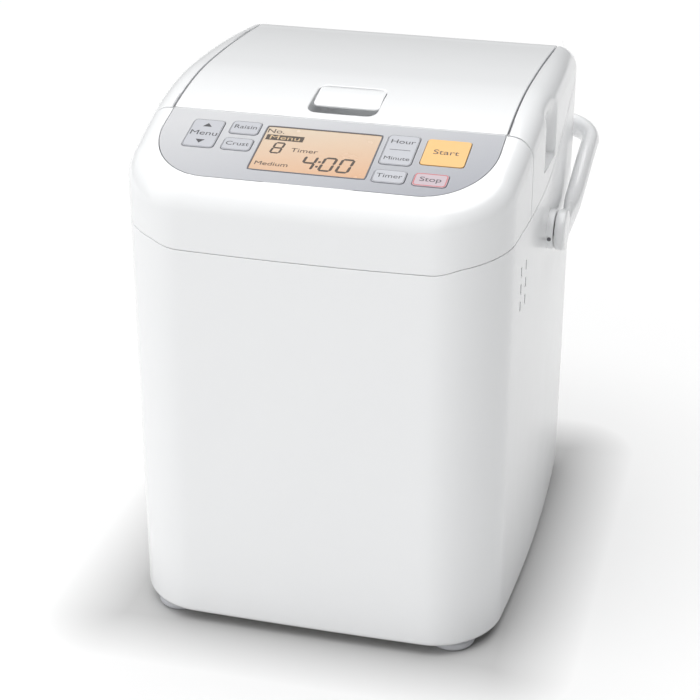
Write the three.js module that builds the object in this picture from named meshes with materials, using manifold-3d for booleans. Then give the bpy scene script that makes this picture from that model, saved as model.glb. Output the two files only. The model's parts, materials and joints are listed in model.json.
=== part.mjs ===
// A compact one-loaf bread machine. Millimetres, +Z up, front facing -Y.
// The origin is on the table, under the middle of the whole object with its carrying handle folded back.
import * as THREE from 'three';
import { mergeVertices } from 'three/addons/utils/BufferGeometryUtils.js';
import Module from 'manifold-3d';

const wasm = await Module();
wasm.setup();

// ---------------------------------------------------------------- driving dimensions
const GAP = 0.3;                    // clearance kept between neighbouring pieces
const WALL = 2.5;                   // moulded wall thickness
const FAR = 160;                    // well outside the body, for cutting tools
const BODY = { halfWidth: 109, halfDepth: 131.5, bottom: 6, frontRadius: 37, rearRadius: 28 };
const BOW = { side: 6.1, front: 1.6 };          // how far the side and front faces bulge at their middle
const EDGE = 13;                    // roundness of the body's top edge
const LID = { halfWidth: 92.7, front: -58.2, frontHeight: 286, topHeight: 294, topY: 3.5 };
const REAR_ROUND = { y: 93.5, z: 252, r: 38 };  // the big round over the rear of the lid
const PANEL_TILT = THREE.MathUtils.degToRad(15);
const PANEL = { halfWidth: 92.5, top: 2, bottom: 62, cornerAcross: 36, cornerDown: 44 };
const HINGE = { y: 100, r: 9, clearance: 2, pinRadius: 2.5 };
const SEAM_Y = -60;                 // seam between the front housing and the rear housing on the flanks
const DECK = { bottom: 253.5, top: 256 };
const CHAMBER = { y: 20, halfX: 82, halfY: 72, corner: 25, bottom: 64, wall: 1.2 };
const HEATER = { z: 92, halfX: 74, halfY: 64, corner: 20, thickness: 6.4 };
const SENSOR = { x: 45, z: 130 };
const PAN = { halfX: 58, halfY: 48, corner: 16, flare: 4, bottom: 86, top: 205, wall: 1.5, rim: 4 };
const BAIL = { height: 48, radius: 2.4, stubRadius: 2.2, pivotZ: 198.5, halfWidth: 71, restAngle: 20 };
const HANDLE = { pivotZ: 212, pinRadius: 4, armX: 116, backY: 156, barZ: 225, cornerRadius: 38 };
const VENTS = { rows: [-89.5, -78.5, -67.5], heights: [196.5, 206.5, 216.5], halfWidth: 1.1, halfHeight: 2.8 };
const GLAND = { x: 60, z: 40, flange: 12, neck: 9, bore: 4 };
const DRIVE = { pulleyRadius: 48, motorPulleyRadius: 9, pulleyBottom: 28, pulleyTop: 40 };
const MOTOR = { x: -35, y: -91, r: 31, bottom: 92, top: 162 };
const FOOT = { x: 81, y: 110, r: 13.5, height: 6, screwHead: 4.2, screwHole: 2, sink: 3.8 };
const SLAB = { halfX: 150, back: 150, bottom: 200, top: 300 };   // a block that takes in all the upper housings
const CHASSIS = { bottom: 46, top: 48.5 };

// The middle of the body's depth, seen from the origin: the folded handle reaches out behind.
const BODY_Y = -(HANDLE.backY + 4.5 - BODY.halfDepth) / 2;
const HINGE_Z = topHeight(HINGE.y) - HINGE.r;

// ---------------------------------------------------------------- solids, cuts and meshes
// A closed three.js geometry as a solid for joining and cutting.
function solid(geometry) {
  const plain = geometry.index ? geometry.toNonIndexed() : geometry.clone();
  plain.deleteAttribute('normal');
  plain.deleteAttribute('uv');
  const merged = mergeVertices(plain, 1e-3);
  return new wasm.Manifold(new wasm.Mesh({
    numProp: 3,
    vertProperties: merged.attributes.position.array,
    triVerts: new Uint32Array(merged.index.array),
  }));
}

function geometryOf(shape) {
  const mesh = shape.getMesh();
  const geometry = new THREE.BufferGeometry();
  geometry.setAttribute('position', new THREE.BufferAttribute(new Float32Array(mesh.vertProperties), 3));
  geometry.setIndex(new THREE.BufferAttribute(new Uint32Array(mesh.triVerts), 1));
  geometry.computeVertexNormals();
  return geometry;
}

const join = (...shapes) => shapes.reduce((all, next) => all.add(next));
const cut = (shape, ...tools) => tools.reduce((left, tool) => left.subtract(tool), shape);

// A block between two corners.
function block(x0, x1, y0, y1, z0, z1) {
  const geometry = new THREE.BoxGeometry(x1 - x0, y1 - y0, z1 - z0);
  return solid(geometry.translate((x0 + x1) / 2, (y0 + y1) / 2, (z0 + z1) / 2));
}

// An upright round bar, a bar along X and a bar along Y.
function upright(r, z0, z1, x = 0, y = 0, sides = 16) {
  const geometry = new THREE.CylinderGeometry(r, r, z1 - z0, sides).rotateX(Math.PI / 2);
  return solid(geometry.translate(x, y, (z0 + z1) / 2));
}
function barAlongX(r, x0, x1, y, z, sides = 16) {
  const geometry = new THREE.CylinderGeometry(r, r, x1 - x0, sides).rotateZ(Math.PI / 2);
  return solid(geometry.translate((x0 + x1) / 2, y, z));
}
function barAlongY(r, y0, y1, x, z, sides = 16) {
  const geometry = new THREE.CylinderGeometry(r, r, y1 - y0, sides);
  return solid(geometry.translate(x, (y0 + y1) / 2, z));
}
// A bar along X on one side of the body, from `near` to `far` out from the middle.
const barOutwards = (side, r, near, far, z, sides = 16, y = 0) =>
  barAlongX(r, Math.min(side * near, side * far), Math.max(side * near, side * far), y, z, sides);
const blockOutwards = (side, near, far, y0, y1, z0, z1) =>
  block(Math.min(side * near, side * far), Math.max(side * near, side * far), y0, y1, z0, z1);
const ring = (outer, inner, z0, z1, x = 0, y = 0, sides = 24) =>
  cut(upright(outer, z0, z1, x, y, sides), upright(inner, z0 - 1, z1 + 1, x, y, sides));

// An outline in plan, raised from z0 to z1.
function raised(points, z0, z1) {
  const geometry = new THREE.ExtrudeGeometry(new THREE.Shape(points), { depth: z1 - z0, bevelEnabled: false });
  return solid(geometry.translate(0, 0, z0));
}

// A side view drawn as [y, z] points, pushed out along X from x0 to x1.
function sideways(profile, x0, x1) {
  const points = profile.map(([y, z]) => new THREE.Vector2(y, z));
  const geometry = new THREE.ExtrudeGeometry(new THREE.Shape(points), { depth: x1 - x0, bevelEnabled: false });
  return solid(geometry.applyMatrix4(new THREE.Matrix4().set(
    0, 0, 1, x0,
    1, 0, 0, 0,
    0, 1, 0, 0,
    0, 0, 0, 1,
  )));
}

// A closed skin through rings of points that all have the same count, capped by a fan at each end.
function loft(rings, firstCentre, lastCentre) {
  const count = rings[0].length;
  const positions = [];
  const face = (...corners) => corners.forEach((p) => positions.push(p.x, p.y, p.z));
  for (let i = 0; i < count; i += 1) {
    const j = (i + 1) % count;
    face(firstCentre, rings[0][j], rings[0][i]);
    for (let k = 0; k + 1 < rings.length; k += 1) {
      face(rings[k][i], rings[k][j], rings[k + 1][j]);
      face(rings[k][i], rings[k + 1][j], rings[k + 1][i]);
    }
    face(lastCentre, rings.at(-1)[i], rings.at(-1)[j]);
  }
  const geometry = new THREE.BufferGeometry();
  geometry.setAttribute('position', new THREE.Float32BufferAttribute(positions, 3));
  return geometry;
}

// A rounded rectangle in plan, as points that run anticlockwise.
function roundedRectangle(halfX, halfY, radius, y = 0, x = 0, steps = 4) {
  const points = [];
  const corners = [[1, -1, -90], [1, 1, 0], [-1, 1, 90], [-1, -1, 180]];
  for (const [sx, sy, start] of corners) {
    for (let i = 0; i <= steps; i += 1) {
      const angle = THREE.MathUtils.degToRad(start + (90 * i) / steps);
      points.push(new THREE.Vector2(
        x + sx * (halfX - radius) + radius * Math.cos(angle),
        y + sy * (halfY - radius) + radius * Math.sin(angle),
      ));
    }
  }
  return points;
}

// A bent bar: an oval section carried along a list of points. Its width lies level, square to the
// path, and its height stands upright; both are functions of the point's number.
function bentBar(path, widthAt, tallAt, sides = 12) {
  const rings = path.map((point, i) => {
    const before = path[Math.max(i - 1, 0)];
    const after = path[Math.min(i + 1, path.length - 1)];
    const along = after.clone().sub(before).normalize();
    const across = along.clone().cross(new THREE.Vector3(0, 0, 1)).normalize();
    const up = along.clone().cross(across).normalize();
    return Array.from({ length: sides }, (_, k) => {
      const angle = (2 * Math.PI * k) / sides;
      return point.clone()
        .addScaledVector(across, (widthAt(i) / 2) * Math.cos(angle))
        .addScaledVector(up, (tallAt(i) / 2) * Math.sin(angle));
    });
  });
  return solid(loft(rings, path[0], path.at(-1)));
}

// ---------------------------------------------------------------- the body's outer form
// Height of the body's top surface at depth y: the sloping panel, the crowned lid, the rear round.
function topHeight(y) {
  if (y < LID.front) {
    return LID.frontHeight + (y - LID.front) * Math.tan(PANEL_TILT);
  }
  const crest = REAR_ROUND.z + REAR_ROUND.r;
  if (y > REAR_ROUND.y) {
    const reach = Math.min(y - REAR_ROUND.y, REAR_ROUND.r);
    return REAR_ROUND.z + Math.sqrt(REAR_ROUND.r ** 2 - reach ** 2);
  }
  const ahead = (y - LID.topY) / (LID.front - LID.topY);
  const behind = (y - LID.topY) / (REAR_ROUND.y - LID.topY);
  return y < LID.topY
    ? LID.topHeight - (LID.topHeight - LID.frontHeight) * ahead ** 2
    : LID.topHeight - (LID.topHeight - crest) * behind ** 2;
}

// The body's outline in plan, moved inwards by `inset`. Every inset has the same number of points.
function bodyOutline(inset) {
  const halfX = BODY.halfWidth - inset;
  const halfY = BODY.halfDepth - inset;
  const points = [];
  const arc = (sx, sy, radius, start, steps) => {
    const r = Math.max(radius - inset, 4);
    for (let i = 0; i <= steps; i += 1) {
      const angle = THREE.MathUtils.degToRad(start + (90 * i) / steps);
      points.push([sx * (halfX - r) + r * Math.cos(angle), sy * (halfY - r) + r * Math.sin(angle)]);
    }
  };
  const straightTo = (x, y, steps) => {
    const [x0, y0] = points.at(-1);
    for (let i = 1; i < steps; i += 1) {
      points.push([x0 + ((x - x0) * i) / steps, y0 + ((y - y0) * i) / steps]);
    }
  };
  const rFront = Math.max(BODY.frontRadius - inset, 4);
  const rRear = Math.max(BODY.rearRadius - inset, 4);
  arc(1, -1, BODY.frontRadius, -90, 6);
  straightTo(halfX, halfY - rRear, 5);
  arc(1, 1, BODY.rearRadius, 0, 5);
  straightTo(-(halfX - rRear), halfY, 2);
  arc(-1, 1, BODY.rearRadius, 90, 5);
  straightTo(-halfX, -(halfY - rFront), 5);
  arc(-1, -1, BODY.frontRadius, 180, 6);
  straightTo(halfX - rFront, -halfY, 4);
  return points.map(([x, y]) => {
    const across = x / BODY.halfWidth;
    const along = y / BODY.halfDepth;
    const bowedX = x * (1 - (BOW.side / BODY.halfWidth) * along ** 2);
    const bowedY = y < 0 ? y * (1 - (BOW.front / BODY.halfDepth) * across ** 2) : y;
    return new THREE.Vector2(bowedX, bowedY);
  });
}

// The closed form of the body, `inset` inside the outer skin, from height `bottom` to its rounded top.
function bodyForm(inset, bottom) {
  const radius = EDGE - inset;
  const level = (across, height) => bodyOutline(across).map((p) => new THREE.Vector3(p.x, p.y, height(p.y)));
  const rings = [level(inset, () => bottom)];
  for (let i = 0; i <= 3; i += 1) {
    const angle = (Math.PI / 2) * (i / 3);
    const drop = inset + radius * (1 - Math.sin(angle));
    rings.push(level(inset + radius * (1 - Math.cos(angle)), (y) => topHeight(y) - drop));
  }
  const rounded = solid(loft(rings, new THREE.Vector3(0, 0, bottom), new THREE.Vector3(0, 0, 400)));
  const profile = [[-FAR, bottom - 1], [FAR, bottom - 1]];
  for (let y = 150; y > LID.front; y -= y > REAR_ROUND.y ? 6 : 12) {
    profile.push([y, topHeight(y) - inset]);
  }
  profile.push([LID.front, topHeight(LID.front) - inset], [-FAR, topHeight(-FAR) - inset]);
  return rounded.intersect(sideways(profile, -FAR, FAR));
}

// The seam between the lower shell and the upper housings, seen from the side as [y, z] points:
// level round the front, then a long sweep up towards the rear.
const SEAM_POINTS = [
  [-131.5, 231.5], [-126, 235.5], [-95, 239], [-40, 241], [0, 246], [40, 257], [75, 266], [131.5, 270],
];
const SEAM_LINE = new THREE.CatmullRomCurve3(SEAM_POINTS.map(([y, z]) => new THREE.Vector3(0, y, z)))
  .getPoints(24).map((p) => [p.y, p.z]);

// Everything under the seam line, `clearance` below it.
function belowSeam(clearance) {
  const line = SEAM_LINE.map(([y, z]) => [y, z - clearance]);
  const [, frontZ] = line[0];
  const [, rearZ] = line.at(-1);
  return sideways([[-FAR, 0], [FAR, 0], [FAR, rearZ], ...line.reverse(), [-FAR, frontZ]], -FAR, FAR);
}

const FORM = bodyForm(0, BODY.bottom);
const HOLLOW = bodyForm(WALL, 0);
const SKIN = cut(FORM, HOLLOW);

// ---------------------------------------------------------------- panel frame
// Panel pieces are drawn flat: X across, Y up the slope from the lid's front edge, Z out of the panel.
const PANEL_FRAME = new THREE.Matrix4()
  .makeTranslation(0, LID.front, LID.frontHeight)
  .multiply(new THREE.Matrix4().makeRotationX(PANEL_TILT));
const onPanel = (shape) => solid(geometryOf(shape).applyMatrix4(PANEL_FRAME));

function panelOutline(inset) {
  const { halfWidth, top, bottom, cornerAcross, cornerDown } = PANEL;
  const steps = 6;
  const lowerRight = Array.from({ length: steps + 1 }, (_, i) => {
    const angle = (Math.PI / 2) * (i / steps);
    return new THREE.Vector2(
      halfWidth - cornerAcross + (cornerAcross - inset) * Math.sin(angle),
      -(bottom - cornerDown) - (cornerDown - inset) * Math.cos(angle),
    );
  });
  const upperRight = new THREE.Vector2(halfWidth - inset, -top - inset);
  const right = [...lowerRight, upperRight];
  const left = right.map((p) => new THREE.Vector2(-p.x, p.y)).reverse();
  return [...right, ...left];
}

// Where each key sits: left edge, right edge, top and bottom measured down the slope.
const KEYS = {
  menu_key: { x0: -77, x1: -59.4, top: 10.5, bottom: 36.5, rocks: true },
  raisin_key: { x0: -55.2, x1: -39, top: 9.2, bottom: 21.3 },
  crust_key: { x0: -55.2, x1: -39, top: 25.3, bottom: 36.5 },
  hour_minute_key: { x0: 31.6, x1: 48.8, top: 9.8, bottom: 37, rocks: true },
  timer_key: { x0: 31.6, x1: 48.8, top: 42, bottom: 53.3 },
  start_key: { x0: 53, x1: 76.4, top: 10.8, bottom: 34.3 },
  stop_key: { x0: 53, x1: 71, top: 42, bottom: 53.3 },
};
const DISPLAY = { x0: -35.4, x1: 28.2, top: 11, bottom: 52 };
const KEY_RISE = 0.7;
const OVERLAY = { bottom: -0.9, top: -0.1 };

// A rounded key-shaped block in the panel frame, grown by `grow` all round.
function padBlock({ x0, x1, top, bottom }, grow, z0, z1, radius = 2.2) {
  const outline = roundedRectangle((x1 - x0) / 2 + grow, (bottom - top) / 2 + grow, radius + grow,
    -(top + bottom) / 2, (x0 + x1) / 2, 3);
  return raised(outline, z0, z1);
}
const panelHoles = (grow) => join(...Object.values(KEYS).map((key) => padBlock(key, grow, -8, 3)),
  padBlock(DISPLAY, grow, -8, 3, 1));

// ---------------------------------------------------------------- casings
function lowerBodyShell() {
  const { rows, heights, halfWidth, halfHeight } = VENTS;
  const vents = rows.flatMap((y) => heights.map((z) =>
    block(95, 115, y - halfWidth, y + halfWidth, z - halfHeight, z + halfHeight)));
  const pivotHoles = [-1, 1].map((side) => barOutwards(side, HANDLE.pinRadius + 0.4, 100, 112, HANDLE.pivotZ));
  const cordHole = barAlongY(GLAND.neck + 0.4, 120, 140, GLAND.x, GLAND.z, 20);
  return cut(SKIN.intersect(belowSeam(GAP / 2)), ...vents, ...pivotHoles, cordHole);
}

function controlHousing() {
  const { halfX, back, bottom, top } = SLAB;
  const front = join(
    block(-halfX, halfX, -back, SEAM_Y, bottom, top),
    block(-93, 93, -back, LID.front - 0.5, bottom, top),
  );
  const upper = cut(SKIN, belowSeam(-GAP / 2)).intersect(front);
  const backWall = block(-92.8, 92.8, -61, LID.front - 0.5, DECK.bottom, 290).intersect(FORM);
  const recess = onPanel(raised(panelOutline(-GAP), OVERLAY.bottom - 0.2, 4));
  return cut(join(upper, backWall), recess, onPanel(panelHoles(0.5)));
}

function rearHousing() {
  const { halfX, back, bottom, top } = SLAB;
  const wellX = LID.halfWidth + 2 * GAP;
  const behind = block(-halfX, halfX, SEAM_Y + GAP, back, bottom, top);
  const well = block(-wellX, wellX, SEAM_Y, 104, DECK.top, top);
  const upper = cut(cut(SKIN, belowSeam(-GAP / 2)).intersect(behind), well);
  const sideWalls = [-1, 1].map((side) =>
    blockOutwards(side, wellX, wellX + 2.2, SEAM_Y + GAP, 113, DECK.bottom, top).intersect(FORM));
  const rearWall = block(-94, 94, 104, 113, DECK.bottom, top).intersect(FORM);
  const deck = block(-95, 95, SEAM_Y + 2.4, 105, DECK.bottom, DECK.top);
  const trough = barAlongX(HINGE.r + HINGE.clearance, -wellX, wellX, HINGE.y, HINGE_Z, 24);
  const opening = raised(roundedRectangle(CHAMBER.halfX + GAP, CHAMBER.halfY + GAP, CHAMBER.corner, CHAMBER.y),
    DECK.bottom - 5, DECK.top + 5);
  const pins = barAlongX(HINGE.pinRadius + GAP, -97, 97, HINGE.y, HINGE_Z, 16);
  return cut(join(upper, ...sideWalls, rearWall, deck), trough, opening, pins);
}

function basePlate() {
  const plate = raised(bodyOutline(WALL + 0.4), FOOT.height + GAP, 9);
  const slots = [];
  for (let i = -3; i <= 3; i += 1) {
    slots.push(block(i * 16 - 2.5, i * 16 + 2.5, -60, -20, 0, 12));
    slots.push(block(i * 16 - 2.5, i * 16 + 2.5, 55, 85, 0, 12));
  }
  const screwHoles = [-1, 1].flatMap((side) => [-1, 1].map((end) =>
    upright(FOOT.screwHole, 0, 12, side * FOOT.x, end * FOOT.y, 10)));
  return cut(plate, ...slots, ...screwHoles);
}

// A foot with a sunk hole for the screw that holds it and the base plate.
function foot(x, y) {
  const { r, height, screwHead, screwHole, sink } = FOOT;
  const profile = [[screwHead, 0], [r - 3, 0], [r - 1, 1.2], [r, 3.5], [r, height], [screwHole, height],
    [screwHole, sink], [screwHead, sink], [screwHead, 0]];
  const points = profile.map(([radius, z]) => new THREE.Vector2(radius, z));
  return solid(new THREE.LatheGeometry(points, 16).rotateX(Math.PI / 2).translate(x, y, 0));
}

function baseScrew(x, y) {
  const { screwHead, screwHole, sink } = FOOT;
  const head = upright(screwHead - 0.7, sink - 2.2, sink - GAP, x, y, 12);
  return join(head, upright(screwHole - 0.4, sink - 0.5, 17, x, y, 8));
}

// ---------------------------------------------------------------- panel pieces
const panelOverlay = () =>
  onPanel(cut(raised(panelOutline(0), OVERLAY.bottom, OVERLAY.top), panelHoles(0.5)));

// Where a key's switches sit, in the panel frame: one in its middle, or two on a rocker.
const switchPlaces = ({ x0, x1, top, bottom, rocks }) =>
  (rocks ? [0.2, 0.8] : [0.5]).map((part) => ({ x: (x0 + x1) / 2, y: -(top + (bottom - top) * part) }));

// A key: its pad, with a short stem over each switch.
function key(place) {
  const pad = padBlock(place, 0, -2.6, KEY_RISE);
  const stems = switchPlaces(place).map(({ x, y }) => upright(2, -4.2, -2, x, y, 10));
  return onPanel(join(pad, ...stems));
}

const displayWindow = () => onPanel(padBlock(DISPLAY, 0, -1.4, 0.9, 1));
const displayModule = () => onPanel(padBlock(DISPLAY, -1, -6.6, -1.7, 1));

function controlBoard() {
  const board = block(-82, 82, -56, -7, -9.4, -7.8);
  const switches = Object.values(KEYS).flatMap((place) =>
    switchPlaces(place).map(({ x, y }) => block(x - 3, x + 3, y - 3, y + 3, -8, -5)));
  return onPanel(join(board, ...switches));
}

// ---------------------------------------------------------------- lid
const GRIP = { halfX: 19.5, front: -52.5, back: -20.5, slot: 7, floor: 274 };

function lidCover() {
  const outside = FORM.intersect(block(-LID.halfWidth, LID.halfWidth, LID.front, HINGE.y, DECK.top + 1.5, 300));
  const nose = barAlongX(HINGE.r, -LID.halfWidth, LID.halfWidth, HINGE.y, HINGE_Z, 24);
  const inside = HOLLOW.intersect(block(-90.2, 90.2, LID.front + WALL, 88, 200, 300));
  const underNose = block(-100, 100, 91, 120, 200, HINGE_Z - 5);
  const { halfX, front, back, floor } = GRIP;
  const bucket = block(-halfX - 2, halfX + 2, front - 2, back + 2, floor - 2, 300);
  const pocket = block(-halfX, halfX, front, back, floor, 300);
  const pins = join(...[-1, 1].map((side) =>
    barOutwards(side, HINGE.pinRadius + GAP, 80, 94, HINGE_Z, 16, HINGE.y)));
  const cover = join(cut(outside, inside, underNose), cut(nose, underNose));
  return cut(join(cover, bucket.intersect(FORM)), pocket, pins);
}

// The plate over the rear part of the finger recess: the finger goes in front of it and lifts it.
function lidGrip() {
  const plate = block(-GRIP.halfX + GAP, GRIP.halfX - GAP, GRIP.front + GRIP.slot, GRIP.back - GAP, 270, 300);
  const top = bodyForm(0.5, BODY.bottom);
  const under = bodyForm(3, 0);
  return cut(plate.intersect(top), under);
}

function lidLiner() {
  const y = (LID.front + WALL + 88) / 2;
  const halfY = (88 - LID.front - WALL) / 2;
  const plate = raised(roundedRectangle(89.6, halfY - 0.6, 6, y), 257.8, 260);
  const dome = (inset, z) => raised(roundedRectangle(72 - inset, 60 - inset, 20, CHAMBER.y), 257, z);
  return cut(join(plate, dome(0, 268)), dome(1.5, 266.5));
}

const lidHingePin = (side) => barOutwards(side, HINGE.pinRadius, 82, 96.5, HINGE_Z, 16, HINGE.y);

// ---------------------------------------------------------------- carrying handle
function handlePath() {
  const r = HANDLE.cornerRadius;
  const half = [];
  const rise = (y) => {
    const t = THREE.MathUtils.clamp((y - 40) / 88, 0, 1);
    return HANDLE.barZ - 17 + 17 * t * t * (3 - 2 * t);
  };
  for (let y = 0; y < HANDLE.backY - r; y += 12) {
    half.push([HANDLE.armX, y]);
  }
  for (let i = 0; i <= 6; i += 1) {
    const angle = (Math.PI / 2) * (i / 6);
    half.push([HANDLE.armX - r + r * Math.cos(angle), HANDLE.backY - r + r * Math.sin(angle)]);
  }
  half.push([45, HANDLE.backY]);
  const right = half.map(([x, y]) => new THREE.Vector3(x, y, rise(y)));
  const left = half.map(([x, y]) => new THREE.Vector3(-x, y, rise(y))).reverse();
  return [...right, new THREE.Vector3(0, HANDLE.backY, HANDLE.barZ), ...left];
}

function carryHandle() {
  const path = handlePath();
  const grip = (i) => THREE.MathUtils.smoothstep(path[i].y, 110, 150);
  const bar = bentBar(path, (i) => 6.4 + 2.6 * grip(i), (i) => 13 + 4 * grip(i), 10);
  const hubs = [-1, 1].map((side) =>
    barOutwards(side, 12.5, HANDLE.armX - 3.1, HANDLE.armX + 3.2, HANDLE.pivotZ, 20));
  const bores = [-1, 1].map((side) =>
    barOutwards(side, HANDLE.pinRadius + 0.4, 110, 117.4, HANDLE.pivotZ));
  return cut(join(bar, ...hubs), ...bores);
}

// A round boss on the body's side, which the handle's arm turns beside.
const handleBoss = (side) => cut(
  barOutwards(side, 14, BODY.halfWidth + GAP, 112.5, HANDLE.pivotZ, 20),
  barOutwards(side, HANDLE.pinRadius + 0.4, 105, 115, HANDLE.pivotZ),
);

// The pin with the flange that holds it behind the body's wall.
const handlePin = (side) => join(
  barOutwards(side, HANDLE.pinRadius, 102, 117, HANDLE.pivotZ),
  barOutwards(side, 9, 101, 105, HANDLE.pivotZ, 20),
);

// ---------------------------------------------------------------- baking chamber
function chamberLiner() {
  const { halfX, halfY, corner, bottom, wall, y } = CHAMBER;
  const top = DECK.top + 1.2;
  const outside = raised(roundedRectangle(halfX, halfY, corner, y), bottom, top);
  const flange = raised(roundedRectangle(halfX + 5, halfY + 5, corner + 5, y), DECK.top + GAP, top);
  const inside = raised(roundedRectangle(halfX - wall, halfY - wall, corner - wall, y), bottom + wall, top + 5);
  const shaftHole = upright(15, bottom - 5, bottom + 5, 0, y);
  const heaterHoles = [-8, 8].map((x) => barAlongY(4.2, y - halfY - 3, y - halfY + 3, x, HEATER.z, 12));
  const sensorHole = barAlongY(4.4, y - halfY - 3, y - halfY + 3, SENSOR.x, SENSOR.z, 12);
  return cut(join(outside, flange), inside, shaftHole, ...heaterHoles, sensorHole);
}

// The sheathed heater: one loop round the pan, its two ends led out through the chamber's front wall.
function heaterElement() {
  const { z, halfX, halfY, corner, thickness } = HEATER;
  const loop = roundedRectangle(halfX, halfY, corner, CHAMBER.y).map((p) => new THREE.Vector3(p.x, p.y, z));
  const front = CHAMBER.y - halfY;
  const start = [new THREE.Vector3(8, front - 14, z), new THREE.Vector3(8, front - 6, z),
    new THREE.Vector3(9.5, front - 1.6, z), new THREE.Vector3(14, front, z)];
  const end = start.map((p) => new THREE.Vector3(-p.x, p.y, z)).reverse();
  return bentBar([...start, ...loop, ...end], () => thickness, () => thickness, 8);
}

function heaterClip(side) {
  const { y } = CHAMBER;
  const { z, halfX, thickness } = HEATER;
  const post = blockOutwards(side, halfX + 0.4, halfX + 6.4, y - 5, y + 5, z - 8, z + 8);
  return cut(post, barAlongY(thickness / 2 + 0.5, y - 8, y + 8, side * halfX, z, 12));
}

const temperatureSensor = () => {
  const front = CHAMBER.y - CHAMBER.halfY;
  const { x, z } = SENSOR;
  return join(barAlongY(4, front - 10, front + 9, x, z, 12), barAlongY(7, front - 4, front - 0.6, x, z, 12));
};

// ---------------------------------------------------------------- bread pan
function panSolid(inset, z0, z1) {
  const level = (z) => {
    const grow = (PAN.flare * (z - PAN.bottom)) / (PAN.top - PAN.bottom) - inset;
    return roundedRectangle(PAN.halfX + grow, PAN.halfY + grow, PAN.corner + grow, CHAMBER.y)
      .map((p) => new THREE.Vector3(p.x, p.y, z));
  };
  const centre = (z) => new THREE.Vector3(0, CHAMBER.y, z);
  return solid(loft([level(z0), level(z1)], centre(z0), centre(z1)));
}

function breadPan() {
  const rim = roundedRectangle(PAN.halfX + PAN.flare + PAN.rim, PAN.halfY + PAN.flare + PAN.rim,
    PAN.corner + PAN.flare + PAN.rim, CHAMBER.y);
  const body = join(panSolid(0, PAN.bottom, PAN.top), raised(rim, PAN.top - 1.5, PAN.top));
  return cut(body, panSolid(PAN.wall, PAN.bottom + PAN.wall, PAN.top + 3),
    upright(8.5, PAN.bottom - 5, PAN.bottom + 5, 0, CHAMBER.y));
}

// The foot ring under the pan, with two lugs that lock under the claws of the socket.
function panBase() {
  const y = CHAMBER.y;
  const foot = ring(36, 33, 73, PAN.bottom - GAP, 0, y);
  const floor = ring(36, 12, PAN.bottom - 2.3, PAN.bottom - GAP, 0, y);
  const lugs = [-1, 1].map((side) => blockOutwards(side, 35, 39.5, y - 3, y + 3, 74, 77));
  return join(foot, floor, ...lugs);
}

function bailEar(side) {
  const near = PAN.halfX + PAN.flare + GAP;
  const { y } = CHAMBER;
  const plate = blockOutwards(side, near, near + 4.4, y - 7, y + 7, 192, PAN.top - 1.8);
  return join(plate, barOutwards(side, BAIL.stubRadius, 66, 74, BAIL.pivotZ, 12, y));
}

// The bail: eyes round the ear stubs, straight arms and a bowed grip, folded down towards the rear.
function panBail() {
  const tilt = THREE.MathUtils.degToRad(BAIL.restAngle);
  const { y } = CHAMBER;
  const { pivotZ, halfWidth } = BAIL;
  const place = (x, reach) => new THREE.Vector3(x, y + reach * Math.cos(tilt), pivotZ + reach * Math.sin(tilt));
  const armReach = 14;
  const path = [];
  for (let i = 0; i <= 16; i += 1) {
    const angle = Math.PI * (i / 16);
    const reach = armReach + (BAIL.height - armReach) * Math.sin(angle) ** 0.7;
    path.push(place(halfWidth * Math.cos(angle), reach));
  }
  path.unshift(place(halfWidth, 4.5));
  path.push(place(-halfWidth, 4.5));
  const bar = bentBar(path, () => 2 * BAIL.radius, () => 2 * BAIL.radius, 8);
  const eyes = [-1, 1].map((side) => barOutwards(side, 5.4, halfWidth - 2, halfWidth + 2, pivotZ, 16, y));
  const bores = [-1, 1].map((side) =>
    barOutwards(side, BAIL.stubRadius + 0.5, halfWidth - 3.5, halfWidth + 3.5, pivotZ, 12, y));
  return cut(join(bar, ...eyes), ...bores);
}

const panBearing = () => {
  const y = CHAMBER.y;
  return cut(join(upright(8, 80.5, 96, 0, y), upright(11, 88.1, 92, 0, y), upright(11, 80.5, 83.2, 0, y)),
    upright(4.4, 70, 100, 0, y, 16));
};

function kneadingShaft() {
  const y = CHAMBER.y;
  return join(upright(4, 75, 117, 0, y, 16), block(-14, 14, y - 3, y + 3, 73.5, 79));
}

// The kneading blade: a hub with one swept fin.
function kneadingBlade() {
  const y = CHAMBER.y;
  const hub = upright(8, 97, 116, 0, y);
  const finPlan = [[0, -4], [34, -9], [40, -4], [38, 0], [20, 3], [0, 4]];
  const fin = finPlan.map(([px, py]) => new THREE.Vector2(px, py + y));
  const upper = sideways([[y - 12, 97], [y + 8, 97], [y + 8, 122], [y - 4, 122]], 0, 45);
  return cut(join(hub, raised(fin, 97, 122).intersect(upper)), upright(4.3, 90, 125, 0, y, 16));
}

function panSocket() {
  const y = CHAMBER.y;
  const floor = CHAMBER.bottom + CHAMBER.wall + GAP;
  const cup = cut(ring(45, 41, floor, 79, 0, y), block(-60, 60, y + 20, y + 30, 69, 90));
  const plate = ring(45, 17, floor, floor + 2.2, 0, y);
  const claws = [-1, 1].map((side) => blockOutwards(side, 37, 43, y - 3.4, y + 3.4, 77.6, 79));
  return join(cup, plate, ...claws);
}

// ---------------------------------------------------------------- drive
function chassisPlate() {
  const plate = raised(roundedRectangle(88, 76, 12, CHAMBER.y), CHASSIS.bottom, CHASSIS.top);
  const legs = [];
  for (const x of [-84, 84]) {
    for (const y of [-45, 85]) {
      legs.push(upright(4.5, 9.3, CHASSIS.bottom + 1, x, y, 12));
      legs.push(upright(4.5, CHASSIS.top - 1, CHAMBER.bottom - GAP, x * 0.85, y, 12));
    }
  }
  return cut(join(plate, ...legs), upright(12.4, 40, 50, 0, CHAMBER.y));
}

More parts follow.
